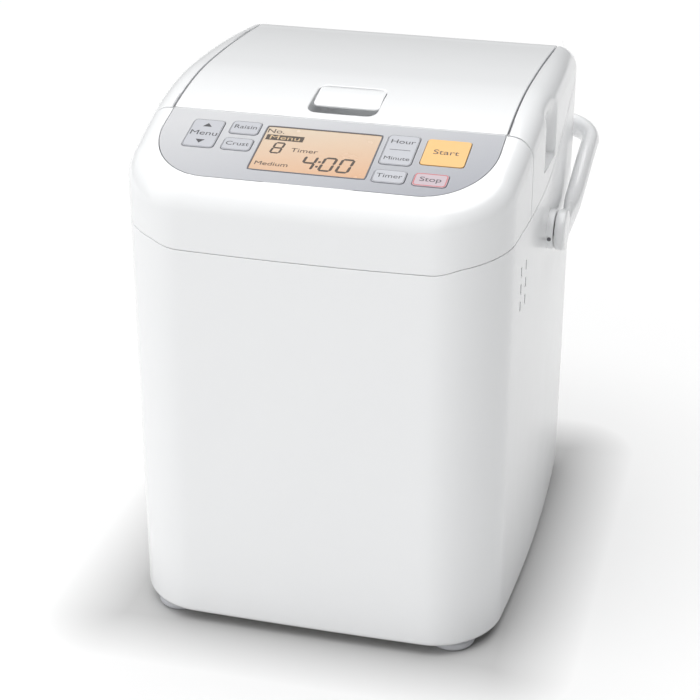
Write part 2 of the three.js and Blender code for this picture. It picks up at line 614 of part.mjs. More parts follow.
function driveBearing() {
  const { y } = CHAMBER;
  const bush = join(upright(12, 43.5, 60, 0, y), upright(17, CHASSIS.top + GAP, 52, 0, y));
  return cut(bush, upright(4.3, 40, 65, 0, y, 16));
}
const driveShaft = () => upright(4, 24, 67, 0, CHAMBER.y, 16);

function driveCoupler() {
  const y = CHAMBER.y;
  const disc = cut(upright(14, 61, 65.5, 0, y), upright(4.3, 50, 66, 0, y, 16));
  const dogs = [-1, 1].map((side) => upright(2.5, 65, 78, 0, y + side * 10.5, 12));
  const cap = cut(upright(14, 65.4, 68.4, 0, y), upright(4.3, 65, 67.3, 0, y, 16));
  return join(disc, cap, ...dogs);
}

// A flanged pulley: two rims with the belt's track between them.
function pulley(radius, bore, x, y, sides) {
  const { pulleyBottom: z0, pulleyTop: z1 } = DRIVE;
  const rim = (bottom, top) => ring(radius + 2.5, bore, bottom, top, x, y, sides);
  return join(ring(radius, bore, z0, z1, x, y, sides), rim(z0, z0 + 1.5), rim(z1 - 1.5, z1));
}

// The large pulley's web is thinned on both faces, between its hub and its rim.
function largePulley() {
  const { pulleyBottom: z0, pulleyTop: z1 } = DRIVE;
  const { y } = CHAMBER;
  const recesses = [[z0 - 1, z0 + 3], [z1 - 3, z1 + 1]].map(([from, to]) => ring(42, 14, from, to, 0, y, 28));
  return cut(pulley(DRIVE.pulleyRadius, 4.3, 0, y, 28), ...recesses);
}
const motorPulley = () => pulley(DRIVE.motorPulleyRadius, 3.3, MOTOR.x, MOTOR.y, 14);

// The belt: the outline of two circles and the straight runs between them.
function beltLoop(grow) {
  const points = [];
  const heading = Math.atan2(CHAMBER.y - MOTOR.y, -MOTOR.x);
  const span = Math.hypot(MOTOR.x, CHAMBER.y - MOTOR.y);
  const lean = Math.asin((DRIVE.pulleyRadius - DRIVE.motorPulleyRadius) / span);
  const arc = (cx, cy, r, from, to, steps) => {
    for (let i = 0; i <= steps; i += 1) {
      const angle = from + ((to - from) * i) / steps;
      points.push(new THREE.Vector2(cx + r * Math.cos(angle), cy + r * Math.sin(angle)));
    }
  };
  const reach = Math.PI / 2 + lean;
  arc(0, CHAMBER.y, DRIVE.pulleyRadius + grow, heading - reach, heading + reach, 20);
  arc(MOTOR.x, MOTOR.y, DRIVE.motorPulleyRadius + grow, heading + reach, heading + 2 * Math.PI - reach, 8);
  return points;
}
const driveBelt = () => cut(raised(beltLoop(2.2), 31, 37), raised(beltLoop(0.5), 30, 38));

function motor() {
  const { x, y, r, bottom, top } = MOTOR;
  const can = join(
    upright(r, bottom, top, x, y, 32),
    upright(9, bottom - 6, bottom + 2, x, y, 20),
    upright(8, top - 1, top + 5, x, y, 20),
  );
  return cut(can, upright(3.3, bottom - 10, bottom + 20, x, y, 16));
}
const motorShaft = () => upright(3, DRIVE.pulleyBottom - 2, MOTOR.bottom + 18, MOTOR.x, MOTOR.y, 16);

function motorBracket() {
  const { x, y, bottom } = MOTOR;
  const plate = raised(roundedRectangle(46, 30, 6, y, x, 3), bottom - 3.3, bottom - GAP);
  const corners = [[-36, -24], [42, -24], [-36, 24], [42, 24]];
  const legs = corners.map(([dx, dy]) => upright(3.6, 9.3, bottom - 2, x + dx, y + dy, 10));
  return cut(join(plate, ...legs), upright(9.6, bottom - 10, bottom + 5, x, y));
}

// ---------------------------------------------------------------- electrics
function powerBoard() {
  const board = block(22, 88, -118, -116.4, 70, 170);
  const parts = [
    barAlongY(6, -117, -98, 34, 150, 16),
    block(50, 68, -117, -100, 140, 160),
    block(30, 44, -117, -104, 80, 100),
    barAlongY(4, -117, -104, 76, 150, 12),
  ];
  return join(board, ...parts);
}
const transformer = () => join(block(52, 82, -116.1, -92, 82, 116), block(58, 76, -92.5, -86, 86, 112));

// The gland in the rear wall that a power cord comes out of.
function cordGland() {
  const { x, z, flange, neck, bore } = GLAND;
  const outside = barAlongY(flange, BODY.halfDepth + GAP, 134, x, z);
  const through = barAlongY(neck, 122, 132, x, z);
  const nut = barAlongY(flange, 122, 128.6, x, z, 6);
  return cut(join(outside, through, nut), barAlongY(bore, 115, 140, x, z, 16));
}

// ---------------------------------------------------------------- finishes
const finish = (color, roughness, metalness = 0) =>
  new THREE.MeshStandardMaterial({ color, roughness, metalness });
const FINISHES = {
  white: [0xf3f4f4, 0.28],
  silverPanel: [0xc3c5cc, 0.35, 0.3],
  amber: [0xf2a95c, 0.25],
  glass: [0xe3a972, 0.1],
  keyGrey: [0xd9dbe0, 0.4],
  keyPink: [0xe2c4cc, 0.4],
  steel: [0xb5b8bb, 0.3, 1],
  plated: [0x9fa3a6, 0.45, 1],
  aluminium: [0xc9cbcc, 0.35, 1],
  coating: [0x3a3b3d, 0.5],
  board: [0x2f6b45, 0.5],
  black: [0x25262a, 0.6],
  rubber: [0x2b2b2b, 0.85],
  foot: [0xd5d6d6, 0.7],
  nylon: [0xe8e6dc, 0.5],
  copper: [0x9c5a34, 0.4, 0.8],
};

const machine = new THREE.Group();
const body = new THREE.Group();
body.position.set(0, BODY_Y, 0);
machine.add(body);

function add(name, shape, look) {
  const mesh = new THREE.Mesh(geometryOf(shape), finish(...FINISHES[look]));
  mesh.name = name;
  body.add(mesh);
}

// ---------------------------------------------------------------- assembly
const SIDES = [['left', -1], ['right', 1]];

add('lower_body_shell', lowerBodyShell(), 'white');
add('control_housing', controlHousing(), 'white');
add('rear_housing', rearHousing(), 'white');
add('base_plate', basePlate(), 'nylon');
for (const [depth, y] of [['front', -FOOT.y], ['rear', FOOT.y]]) {
  for (const [side, x] of [['left', -FOOT.x], ['right', FOOT.x]]) {
    add(`foot_${depth}_${side}`, foot(x, y), 'foot');
    add(`base_screw_${depth}_${side}`, baseScrew(x, y), 'plated');
  }
}

add('panel_overlay', panelOverlay(), 'silverPanel');
const KEY_LOOKS = { start_key: 'amber', stop_key: 'keyPink' };
for (const [name, place] of Object.entries(KEYS)) {
  add(name, key(place), KEY_LOOKS[name] ?? 'keyGrey');
}
add('display_window', displayWindow(), 'glass');
add('display_module', displayModule(), 'amber');
add('control_board', controlBoard(), 'board');

add('lid_cover', lidCover(), 'white');
add('lid_grip', lidGrip(), 'white');
add('lid_liner', lidLiner(), 'plated');
for (const [name, side] of SIDES) {
  add(`lid_hinge_pin_${name}`, lidHingePin(side), 'steel');
  add(`handle_boss_${name}`, handleBoss(side), 'white');
  add(`handle_pin_${name}`, handlePin(side), 'nylon');
  add(`bail_ear_${name}`, bailEar(side), 'steel');
}
add('carry_handle', carryHandle(), 'white');

add('chamber_liner', chamberLiner(), 'plated');
add('heater_element', heaterElement(), 'steel');
for (const [name, side] of SIDES) {
  add(`heater_clip_${name}`, heaterClip(side), 'nylon');
}
add('temperature_sensor', temperatureSensor(), 'steel');

add('bread_pan', breadPan(), 'coating');
add('pan_base', panBase(), 'aluminium');
add('pan_bail', panBail(), 'steel');
add('pan_bearing', panBearing(), 'steel');
add('kneading_shaft', kneadingShaft(), 'steel');
add('kneading_blade', kneadingBlade(), 'coating');
add('pan_socket', panSocket(), 'aluminium');

add('chassis_plate', chassisPlate(), 'plated');
add('drive_bearing', driveBearing(), 'steel');
add('drive_shaft', driveShaft(), 'steel');
add('drive_coupler', driveCoupler(), 'aluminium');
add('large_pulley', largePulley(), 'nylon');
add('motor_pulley', motorPulley(), 'nylon');
add('drive_belt', driveBelt(), 'rubber');
add('motor', motor(), 'plated');
add('motor_shaft', motorShaft(), 'steel');
add('motor_bracket', motorBracket(), 'plated');

add('power_board', powerBoard(), 'board');
add('transformer', transformer(), 'copper');
add('cord_gland', cordGland(), 'black');

export default machine;
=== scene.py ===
# A compact one-loaf bread machine, dressed around its fixed frame.
# Lengths are millimetres from the table and from the middle of the body, front facing -Y.
import json
import math

import bmesh
import bpy
from mathutils import Matrix, Vector


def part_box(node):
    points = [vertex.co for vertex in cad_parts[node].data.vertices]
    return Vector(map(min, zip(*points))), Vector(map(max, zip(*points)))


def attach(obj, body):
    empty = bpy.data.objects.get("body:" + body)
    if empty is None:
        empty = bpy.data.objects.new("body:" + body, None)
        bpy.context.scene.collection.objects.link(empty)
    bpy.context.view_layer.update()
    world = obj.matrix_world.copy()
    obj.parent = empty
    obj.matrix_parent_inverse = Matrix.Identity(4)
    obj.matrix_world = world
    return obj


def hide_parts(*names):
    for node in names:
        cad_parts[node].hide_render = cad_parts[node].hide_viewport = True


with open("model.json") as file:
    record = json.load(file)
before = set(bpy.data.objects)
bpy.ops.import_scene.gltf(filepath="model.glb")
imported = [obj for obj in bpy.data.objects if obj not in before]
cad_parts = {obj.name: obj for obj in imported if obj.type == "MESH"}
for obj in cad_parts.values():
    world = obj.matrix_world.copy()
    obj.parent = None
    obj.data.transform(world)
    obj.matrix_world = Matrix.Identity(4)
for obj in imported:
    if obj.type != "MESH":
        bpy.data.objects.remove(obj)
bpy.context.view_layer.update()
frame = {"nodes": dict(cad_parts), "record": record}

MM = 0.001

# ---------------------------------------------------------------- sizes
SHELL_LOW, SHELL_HIGH = [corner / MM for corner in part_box("lower_body_shell")]
BODY_Y = (SHELL_LOW.y + SHELL_HIGH.y) / 2
HALF_WIDTH = (SHELL_HIGH.x - SHELL_LOW.x) / 2
HALF_DEPTH = (SHELL_HIGH.y - SHELL_LOW.y) / 2


def node_box(node):
    """Lowest and highest corner of a node, in millimetres about the middle of the body."""
    low, high = [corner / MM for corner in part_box(node)]
    shift = Vector((0, BODY_Y, 0))
    return low - shift, high - shift


LID_LOW, LID_HIGH = node_box("lid_cover")
WALL = 2.2                  # thickness of the moulded casings
GAP = 0.3                   # clearance between neighbouring casings
BOW_SIDE = 6.1              # how far the sides bulge at their middle
BOW_FRONT = 1.6
FRONT_RADIUS = 37           # the body's upright corners
REAR_RADIUS = 28
EDGE = 13                   # roundness of the body's top edge
FOOT_EDGE = 3.5             # roundness of the body's bottom edge
LID_HALF = LID_HIGH.x
LID_FRONT = LID_LOW.y
LID_FRONT_HEIGHT = 286
LID_TOP = LID_HIGH.z
LID_TOP_Y = 3.5             # where the lid is highest
REAR_ROUND = 38             # radius of the round over the rear of the body
REAR_ROUND_Y = 93.5
REAR_ROUND_Z = 252
TILT = math.radians(15)     # slope of the control panel
SEAM_GAP = 0.9              # width of the groove between them
SEAM_Y = -60                # seam between the front and rear housings
SEAM = [                    # depth and height of the seam above the lower shell
    (-HALF_DEPTH, 231.5), (-126, 235.5), (-95, 239), (-40, 241),
    (0, 246), (40, 257), (75, 266), (HALF_DEPTH, 270),
]
HINGE_Y = 100
HINGE_RADIUS = 9
LID_REAR_WALL = 91
TROUGH = 11.8               # radius of the hollow that the lid turns in
DECK_Z = 256
WELL_HALF = LID_HALF + 1.0
WELL_BACK = 104
CHAMBER_Y = 20

PANEL_HALF = 92.5           # the silver panel: half width, then distances down its slope
PANEL_TOP = 1.2
PANEL_BOTTOM = 62
PANEL_CORNER_ACROSS = 36
PANEL_CORNER_DOWN = 44
KEY_RISE = 0.3
KEYS = {                    # left, right, top, bottom, radius
    "menu": (-77, -59.4, 10.5, 36.5, 2.2),
    "raisin": (-55.2, -39, 9.2, 21.3, 2.2),
    "crust": (-55.2, -39, 25.3, 36.5, 2.2),
    "hour_minute": (31.6, 48.8, 9.8, 37, 2.2),
    "timer": (31.6, 48.8, 42, 53.3, 2.2),
    "start": (53, 76.4, 10.8, 34.3, 1.6),
    "stop": (53, 71, 42, 53.3, 2.2),
}
DISPLAY = (-35.4, 28.2, 11, 52, 1.0)

GRIP_HALF = 19.5            # the finger recess in the lid
GRIP_FRONT = -52.5
GRIP_BACK = -20.5
GRIP_SLOT = 11.4            # open part in front of the grip plate
FLAP_DIP = 1.6              # how far the plate dips at its front edge
GRIP_FLOOR = 277
GRIP_CORNER = 6
PATCH_HALF = GRIP_HALF + 6          # the square patch of the lid's top that is remade round the recess
PATCH_FRONT = GRIP_FRONT - 3.2
PATCH_BACK = GRIP_BACK + 7

VENT_DEPTHS = (-89.5, -78.5, -67.5)
VENT_HEIGHTS = (196.5, 206.5, 216.5)
VENT_HALF_WIDTH = 1.1
VENT_HALF_HEIGHT = 2.8
VENT_NEAR_Y = 1             # how near to a vent's middle the middle of an open face lies; the faces of the
VENT_NEAR_Z = 2             # front column are 1.09 off along the depth, so that column stays closed

PIVOT_Z = 212               # carrying handle
ARM_X = 116
HANDLE_BACK = 156
HANDLE_BAR_Z = 225
HANDLE_CORNER = 38
HUB_RADIUS = 11.8
BOSS_RADIUS = 11.4
BOSS_BORE = 4.4
BOSS_ROOT = 1.6             # how far a boss reaches into the body's side
ARM_DROP = 17               # how far the arms lie below the grip


def at(x, y, z):
    """A point in the scene from millimetres about the middle of the body."""
    return Vector((x, y + BODY_Y, z)) * MM


PANEL = Matrix.Translation(at(0, LID_FRONT, LID_FRONT_HEIGHT)) @ Matrix.Rotation(TILT, 4, "X")


# ---------------------------------------------------------------- materials
class Value:
    """A number that varies over a surface. Arithmetic on it adds Math nodes."""

    def __init__(self, finish, socket):
        self.finish = finish
        self.socket = socket

    def combined(self, operation, *numbers):
        node = self.finish.node("ShaderNodeMath", {"operation": operation}, dict(enumerate(numbers)))
        return Value(self.finish, node.outputs[0])

    def __add__(self, other):
        return self.combined("ADD", self, other)

    def __mul__(self, other):
        return self.combined("MULTIPLY", self, other)

    def __sub__(self, other):
        return self.combined("SUBTRACT", self, other)

    def __rsub__(self, other):
        return self.combined("SUBTRACT", other, self)

    def __pow__(self, other):
        return self.combined("POWER", self, other)

    def at_least(self, level):
        return self.combined("MAXIMUM", self, level)

    def at_most(self, level):
        return self.combined("MINIMUM", self, level)

    def size(self):
        return self.combined("ABSOLUTE", self)

    __radd__ = __add__
    __rmul__ = __mul__

    def above(self, level, softness):
        """0 below the level and 1 above it, with a soft step between."""
        node = self.finish.node(
            "ShaderNodeMapRange",
            {"interpolation_type": "SMOOTHSTEP"},
            {"Value": self, "From Min": level - softness, "From Max": level + softness},
        )
        return Value(self.finish, node.outputs["Result"])


class Finish:
    """A procedural material under construction."""

    def __init__(self, name, **constants):
        self.material = bpy.data.materials.new(name)
        self.material.use_nodes = True
        self.tree = self.material.node_tree
        self.shader = self.tree.nodes["Principled BSDF"]
        for socket, value in constants.items():
            self.shader.inputs[socket.replace("_", " ")].default_value = value
        coordinates = self.node("ShaderNodeTexCoord")
        self.place = coordinates.outputs["Object"]

    def node(self, kind, settings=None, sockets=None):
        """Adds a node: its settings first, then the values or links of its sockets."""
        made = self.tree.nodes.new(kind)
        for name, value in (settings or {}).items():
            setattr(made, name, value)
        for name, value in (sockets or {}).items():
            self.feed(made.inputs[name], value)
        return made

    def feed(self, socket, value):
        if isinstance(value, Value):
            value = value.socket
        if isinstance(value, bpy.types.NodeSocket):
            self.tree.links.new(value, socket)
        else:
            socket.default_value = value

    def stretched(self, x, y, z):
        """The surface's place, stretched by a factor along each axis."""
        node = self.node("ShaderNodeVectorMath", {"operation": "MULTIPLY"}, {0: self.place, 1: (x, y, z)})
        return node.outputs[0]

    def noise(self, size, detail=2, place=None):
        """Cloudy noise from 0 to 1, with features of about this many millimetres."""
        sockets = {"Vector": place or self.place, "Scale": 1 / (size * MM), "Detail": detail}
        return Value(self, self.node("ShaderNodeTexNoise", None, sockets).outputs["Fac"])

    def cells(self, size, feature="F1"):
        sockets = {"Vector": self.place, "Scale": 1 / (size * MM)}
        node = self.node("ShaderNodeTexVoronoi", {"feature": feature}, sockets)
        return Value(self, node.outputs["Distance"])

    def axis(self, name):
        """One coordinate of the surface's place, in millimetres."""
        node = self.node("ShaderNodeSeparateXYZ", None, {"Vector": self.place})
        return Value(self, node.outputs[name]) * (1 / MM)

    def mix(self, factor, first, second):
        sockets = {"Factor": factor, "A": first, "B": second}
        return self.node("ShaderNodeMix", {"data_type": "RGBA"}, sockets).outputs[2]

    def color(self, socket):
        self.feed(self.shader.inputs["Base Color"], socket)
        return self

    def roughness(self, value):
        self.feed(self.shader.inputs["Roughness"], value)
        return self

    def bump(self, height, shade_and_fleck):
        """Raises the surface by up to depth millimetres where the height is 1."""
        sockets = {"Height": height, "Distance": shade_and_fleck * MM, "Strength": 1.0}
        self.feed(self.shader.inputs["Normal"], self.node("ShaderNodeBump", None, sockets).outputs["Normal"])
        return self


def moulded(name, color, dirty, gloss, grain_size, grain_depth, **constants):
    """Moulded plastic: faint colour clouds, uneven gloss, handling marks and a fine grain."""
    made = Finish(name, **constants)
    clouds = made.noise(46, 3)
    marks = made.noise(14, 3).above(0.5, 0.3)
    grain = made.noise(grain_size, 2)
    made.color(made.mix(clouds * 0.6, color, dirty))
    made.roughness(gloss + clouds * 0.05 + marks * 0.012 + grain * 0.02)
    return made.bump(grain + made.noise(9, 1) * 0.6, grain_depth)


def metal(name, color, dark, gloss, stretch, shade_and_fleck=0.01, metallic=1.0):
    """Sheet or turned metal: drawn streaks, cloudy tarnish and small scratches."""
    made = Finish(name, Metallic=metallic)
    streaks = made.noise(0.7, 3, made.stretched(*stretch))
    tarnish = made.noise(18, 4)
    scratches = made.noise(1.3, 5, made.stretched(4, 0.4, 1)).above(0.66, 0.05)
    made.color(made.mix(tarnish * 0.7 + streaks * 0.3, color, dark))
    made.roughness(gloss + streaks * 0.16 + scratches * 0.12 + tarnish * 0.08)
    return made.bump(streaks + scratches * 0.5, shade_and_fleck)


def white_plastic():
    return moulded("white_plastic", (0.86, 0.868, 0.876, 1), (0.83, 0.84, 0.852, 1), 0.2, 0.9, 0.0035,
                   Coat_Weight=0.35, Coat_Roughness=0.08)


def base_plastic():
    return moulded("base_plastic", (0.60, 0.60, 0.58, 1), (0.52, 0.52, 0.50, 1), 0.5, 0.5, 0.03)


def foot_rubber():
    return moulded("foot_rubber", (0.60, 0.61, 0.64, 1), (0.50, 0.51, 0.53, 1), 0.55, 0.35, 0.03)


def gland_black():
    return moulded("gland_black", (0.02, 0.02, 0.022, 1), (0.035, 0.035, 0.037, 1), 0.4, 0.4, 0.02)


def nylon():
    return moulded("nylon", (0.78, 0.76, 0.69, 1), (0.70, 0.68, 0.60, 1), 0.42, 0.8, 0.02)


def ceramic_clip():
    return moulded("ceramic_clip", (0.76, 0.73, 0.65, 1), (0.62, 0.58, 0.50, 1), 0.5, 0.6, 0.03)


def silver_panel():
    """Silver film with a metallic fleck and painted shade: pale by the lid and at the left, darker and bluer
    down the slope and towards the right.
    """
    made = Finish("silver_panel", Metallic=0.0, Coat_Weight=0.4, Coat_Roughness=0.18)
    down = (made.axis("Z") * -1 + LID_FRONT_HEIGHT) * 0.055
    across = (made.axis("X") + PANEL_HALF) * (1 / (2 * PANEL_HALF))
    fleck = made.noise(0.28, 1)
    # painted shade: the film's own silver darkens down the slope and to the right, where less light falls
    shade_and_fleck = down * 0.6 + across * 0.75 + fleck * 0.1 - 0.2
    made.color(made.mix(shade_and_fleck, (0.56, 0.565, 0.58, 1), (0.30, 0.31, 0.345, 1)))
    made.roughness(0.3 + fleck * 0.1 + made.noise(20, 3) * 0.05)
    return made.bump(fleck, 0.004)


def key_film(name, color, worn):
    """A satin printed key with cloudy polished and worn patches and a fine grain."""
    made = Finish(name, Coat_Weight=0.25, Coat_Roughness=0.2)
    clouds = made.noise(6, 3)
    grain = made.noise(0.25, 1)
    made.color(made.mix(clouds * 0.5 + grain * 0.2, color, worn))
    made.roughness(0.34 + clouds * 0.1 + grain * 0.08)
    return made.bump(grain, 0.005)


def display_face():
    """The amber display, its own amber with painted light and shade: lighter and sandier at the top, deeper
    orange towards the lower right.
    """
    made = Finish("display_face", Coat_Weight=0.5, Coat_Roughness=0.05)
    down = (made.axis("Z") * -1 + LID_FRONT_HEIGHT - 2.8) * 0.094
    across = (made.axis("X") - DISPLAY[0]) * (1 / (DISPLAY[1] - DISPLAY[0]))
    haze = made.noise(14, 3)
    # painted light at the top and painted shade towards the lower right, over a faint haze
    shade_and_haze = down * 0.75 + across * 0.25 + haze * 0.06 - 0.08
    made.color(made.mix(shade_and_haze, (0.56, 0.45, 0.325, 1), (0.56, 0.29, 0.13, 1)))
    made.roughness(0.22 + haze * 0.08)
    return made.bump(made.noise(0.3, 1), 0.002)


def ink(name, color, paler):
    made = Finish(name)
    patches = made.noise(0.5, 2)
    made.color(made.mix(patches * 0.6, color, paler))
    return made.roughness(0.4 + patches * 0.15)


def pan_coating():
    """Dark non-stick coating with a fine pale fleck and a few rubbed places."""
    made = Finish("pan_coating", Specular_IOR_Level=0.6)
    fleck = made.cells(1.1).above(0.16, 0.05)
    rubbed = made.noise(22, 4).above(0.62, 0.1)
    made.color(made.mix(fleck, (0.16, 0.16, 0.165, 1), (0.035, 0.035, 0.038, 1)))
    made.roughness(0.42 + made.noise(3, 3) * 0.12 - rubbed * 0.12)
    return made.bump(made.noise(0.6, 2), 0.02)


def circuit_board():
    """Green solder mask over copper tracks."""
    made = Finish("circuit_board", Coat_Weight=0.3, Coat_Roughness=0.2)
    tracks = made.cells(3.2, "DISTANCE_TO_EDGE").above(0.08, 0.02)
    made.color(made.mix(tracks, (0.07, 0.26, 0.13, 1), (0.02, 0.13, 0.06, 1)))
    made.roughness(0.35 + made.noise(4, 2) * 0.15)
    return made.bump(1 - tracks, 0.03)


def belt_rubber():
    made = Finish("belt_rubber")
    ribs = made.noise(1.2, 1, made.stretched(1, 1, 0.02))
    made.color(made.mix(made.noise(5, 3), (0.018, 0.018, 0.018, 1), (0.05, 0.05, 0.048, 1)))
    made.roughness(0.6 + ribs * 0.2)
    return made.bump(ribs.above(0.5, 0.1), 0.15)


def transformer_core():
    """Varnished laminations: fine dark lines through a brown core."""
    made = Finish("transformer_core", Coat_Weight=0.4, Coat_Roughness=0.25)
    sheets = made.noise(0.6, 1, made.stretched(1, 0.02, 0.02))
    made.color(made.mix(sheets, (0.24, 0.12, 0.06, 1), (0.07, 0.04, 0.025, 1)))
    made.roughness(0.3 + sheets * 0.25)
    return made.bump(sheets, 0.05)


FINISHES = {
    "white_plastic": white_plastic(),
    "base_plastic": base_plastic(),
    "foot_rubber": foot_rubber(),
    "silver_panel": silver_panel(),
    "key_silver": key_film("key_silver", (0.49, 0.50, 0.535, 1), (0.44, 0.45, 0.485, 1)),
    "key_amber": key_film("key_amber", (0.80, 0.46, 0.15, 1), (0.82, 0.51, 0.21, 1)),
    "key_pink": key_film("key_pink", (0.52, 0.43, 0.47, 1), (0.47, 0.39, 0.43, 1)),
    "display_glass": display_face(),
    "display_amber": key_film("display_amber", (0.80, 0.48, 0.24, 1), (0.74, 0.42, 0.20, 1)),
    "circuit_board": circuit_board(),
    "plated_steel": metal("plated_steel", (0.60, 0.61, 0.62, 1), (0.46, 0.47, 0.49, 1), 0.26, (1, 1, 0.03)),
    "bright_steel": metal("bright_steel", (0.70, 0.71, 0.72, 1), (0.58, 0.59, 0.60, 1), 0.16, (0.05, 1, 1)),
    "heater_sheath": metal(
        "heater_sheath", (0.30, 0.27, 0.25, 1), (0.17, 0.15, 0.15, 1), 0.4, (1, 1, 1), 0.02),
    "ceramic_clip": ceramic_clip(),
    "cast_aluminium": metal(
        "cast_aluminium", (0.60, 0.61, 0.62, 1), (0.50, 0.51, 0.52, 1), 0.4, (1, 1, 1), 0.03),
    "pan_coating": pan_coating(),
    "nylon": nylon(),
    "belt_rubber": belt_rubber(),
    "transformer_core": transformer_core(),
    "gland_black": gland_black(),
}
DARK_INK = ink("dark_ink", (0.045, 0.045, 0.05, 1), (0.09, 0.09, 0.10, 1))
DISPLAY_INK = ink("display_ink", (0.06, 0.045, 0.035, 1), (0.11, 0.08, 0.055, 1))
PALE_INK = ink("pale_ink", (0.60, 0.44, 0.26, 1), (0.54, 0.38, 0.22, 1))
RED_INK = ink("red_ink", (0.58, 0.12, 0.13, 1), (0.52, 0.17, 0.18, 1))
SHADOW_GREY = ink("shadow_grey", (0.12, 0.12, 0.135, 1), (0.17, 0.17, 0.185, 1))
SLOTS = {part["node"]: part["material_slot"] for part in frame["record"]["subparts"]}
BODIES = {node: body for body, nodes in frame["record"]["behaviour"]["bodies"].items() for node in nodes}


# ---------------------------------------------------------------- mesh making
class Skin:
    """A mesh being built, from points in millimetres about the middle of the body."""

    def __init__(self, place=at):
        self.mesh = bmesh.new()
        self.place = place

    def row(self, points):
        return [self.mesh.verts.new(self.place(*point)) for point in points]

    def join(self, rows, closed=False, is_open=None):
        """Faces between rows of points. is_open says, from a face's middle, which faces are left out."""
        count = len(rows[0])
        for low, high in zip(rows, rows[1:]):
            for j in range(count if closed else count - 1):
                k = (j + 1) % count
                corners = (low[j], low[k], high[k], high[j])
                if is_open is None or not is_open(sum((v.co for v in corners), Vector()) / 4):
                    self.mesh.faces.new(corners)

    def sheet(self, rows, closed=False, is_open=None):
        made = [self.row(points) for points in rows]
        self.join(made, closed, is_open)
        return made

    def cap(self, row):
        self.mesh.faces.new(row)

    def piece(self, name, node, finish=None, wall=0, soft=0, also=(), body=None, turn=False):
        """Ends the mesh as a piece that stands for a node, with its walls and rounded edges."""
        bmesh.ops.remove_doubles(self.mesh, verts=self.mesh.verts, dist=0.02 * MM)
        bmesh.ops.recalc_face_normals(self.mesh, faces=self.mesh.faces)
        if turn:
            bmesh.ops.reverse_faces(self.mesh, faces=self.mesh.faces)
        mesh = bpy.data.meshes.new(name)
        self.mesh.to_mesh(mesh)
        self.mesh.free()
        return placed(name, mesh, node, finish, wall, soft, also, body)


def placed(name, mesh, node, finish=None, wall=0, soft=0, also=(), body=None):
    """Puts a mesh in the scene with its finish, its walls and edges, and the body that it rides on."""
    slot = SLOTS[node]
    mesh.materials.clear()
    mesh.materials.append((finish or FINISHES[slot]).material)
    mesh.polygons.foreach_set("use_smooth", [True] * len(mesh.polygons))
    piece = bpy.data.objects.new(name, mesh)
    bpy.context.collection.objects.link(piece)
    if wall:
        solid = piece.modifiers.new("wall", "SOLIDIFY")
        solid.thickness = wall * MM
        solid.offset = -1
    if soft:
        bevel = piece.modifiers.new("soft_edges", "BEVEL")
        bevel.width = soft * MM
        bevel.segments = 3
        bevel.limit_method = "ANGLE"
        bevel.angle_limit = math.radians(32)
        bevel.use_clamp_overlap = False
        piece.modifiers.new("even_shading", "WEIGHTED_NORMAL")
    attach(piece, body or BODIES[node])
    if also is not None:
        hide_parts(node, *also)
    return piece


def steps(start, end, count):
    """Evenly spaced values, both ends included."""
    return [start + (end - start) * i / count for i in range(count + 1)]


def rounded_loop(half_x, half_y, radius, count, x=0, y=0):
    """A rounded rectangle as 4 * count points, evenly spaced along each side."""
    points = []
    radius = max(radius, 0.01)
    for turn, (along, across) in enumerate([(half_x, half_y), (half_y, half_x)] * 2):
        straight = along - radius
        half_length = straight + radius * math.pi / 4
        for i in range(count):
            reach = (2 * i / count - 1) * half_length
            angle = max(abs(reach) - straight, 0) / radius
            u = math.copysign(min(abs(reach), straight) + radius * math.sin(angle), reach)
            v = -(across - radius + radius * math.cos(angle))
            cos, sin = [(1, 0), (0, 1), (-1, 0), (0, -1)][turn]
            points.append((x + u * cos - v * sin, y + u * sin + v * cos))
    return points


def turned(skin, profile, centre, axis, count=48):
    """Turns a profile of (radius, height) points round an axis, X, Y or Z, through the centre."""
    rows = []
    for radius, height in profile:
        row = []
        for i in range(count):
            angle = 2 * math.pi * i / count
            u, v = radius * math.cos(angle), radius * math.sin(angle)
            offset = {"X": (height, u, v), "Y": (v, height, u), "Z": (u, v, height)}[axis]
            row.append(tuple(c + o for c, o in zip(centre, offset)))
        rows.append(row)
    return skin.sheet(rows, closed=True)


def round_profile(radius, low, high, edge, inner=0.0):
    """The profile of a disc or ring with rounded outer edges, from low to high."""
    turn = steps(0, math.pi / 2, 5)
    middle = radius - edge
    points = [(inner, low)]
    points += [(middle + edge * math.sin(a), low + edge - edge * math.cos(a)) for a in turn]
    points += [(middle + edge * math.cos(a), high - edge + edge * math.sin(a)) for a in turn]
    points.append((inner, high))
    if inner:
        points.append((inner, low))
    return points


def swept(skin, path, section, count=24):
    """Carries an oval section along a path. section(i) gives its width and height at point i."""
    rows = []
    last = len(path) - 1
    for i, point in enumerate(path):
        along = (path[min(i + 1, last)] - path[max(i - 1, 0)]).normalized()
        across = along.cross(Vector((0, 0, 1))).normalized()
        up = across.cross(along)
        width, height = section(i)
        row = []
        for k in range(count):
            angle = 2 * math.pi * k / count
            offset = across * (width / 2 * math.cos(angle)) + up * (height / 2 * math.sin(angle))
            row.append(tuple(point + offset))
        rows.append(row)
    made = skin.sheet(rows, closed=True)
    skin.cap(list(reversed(made[0])))
    skin.cap(made[-1])


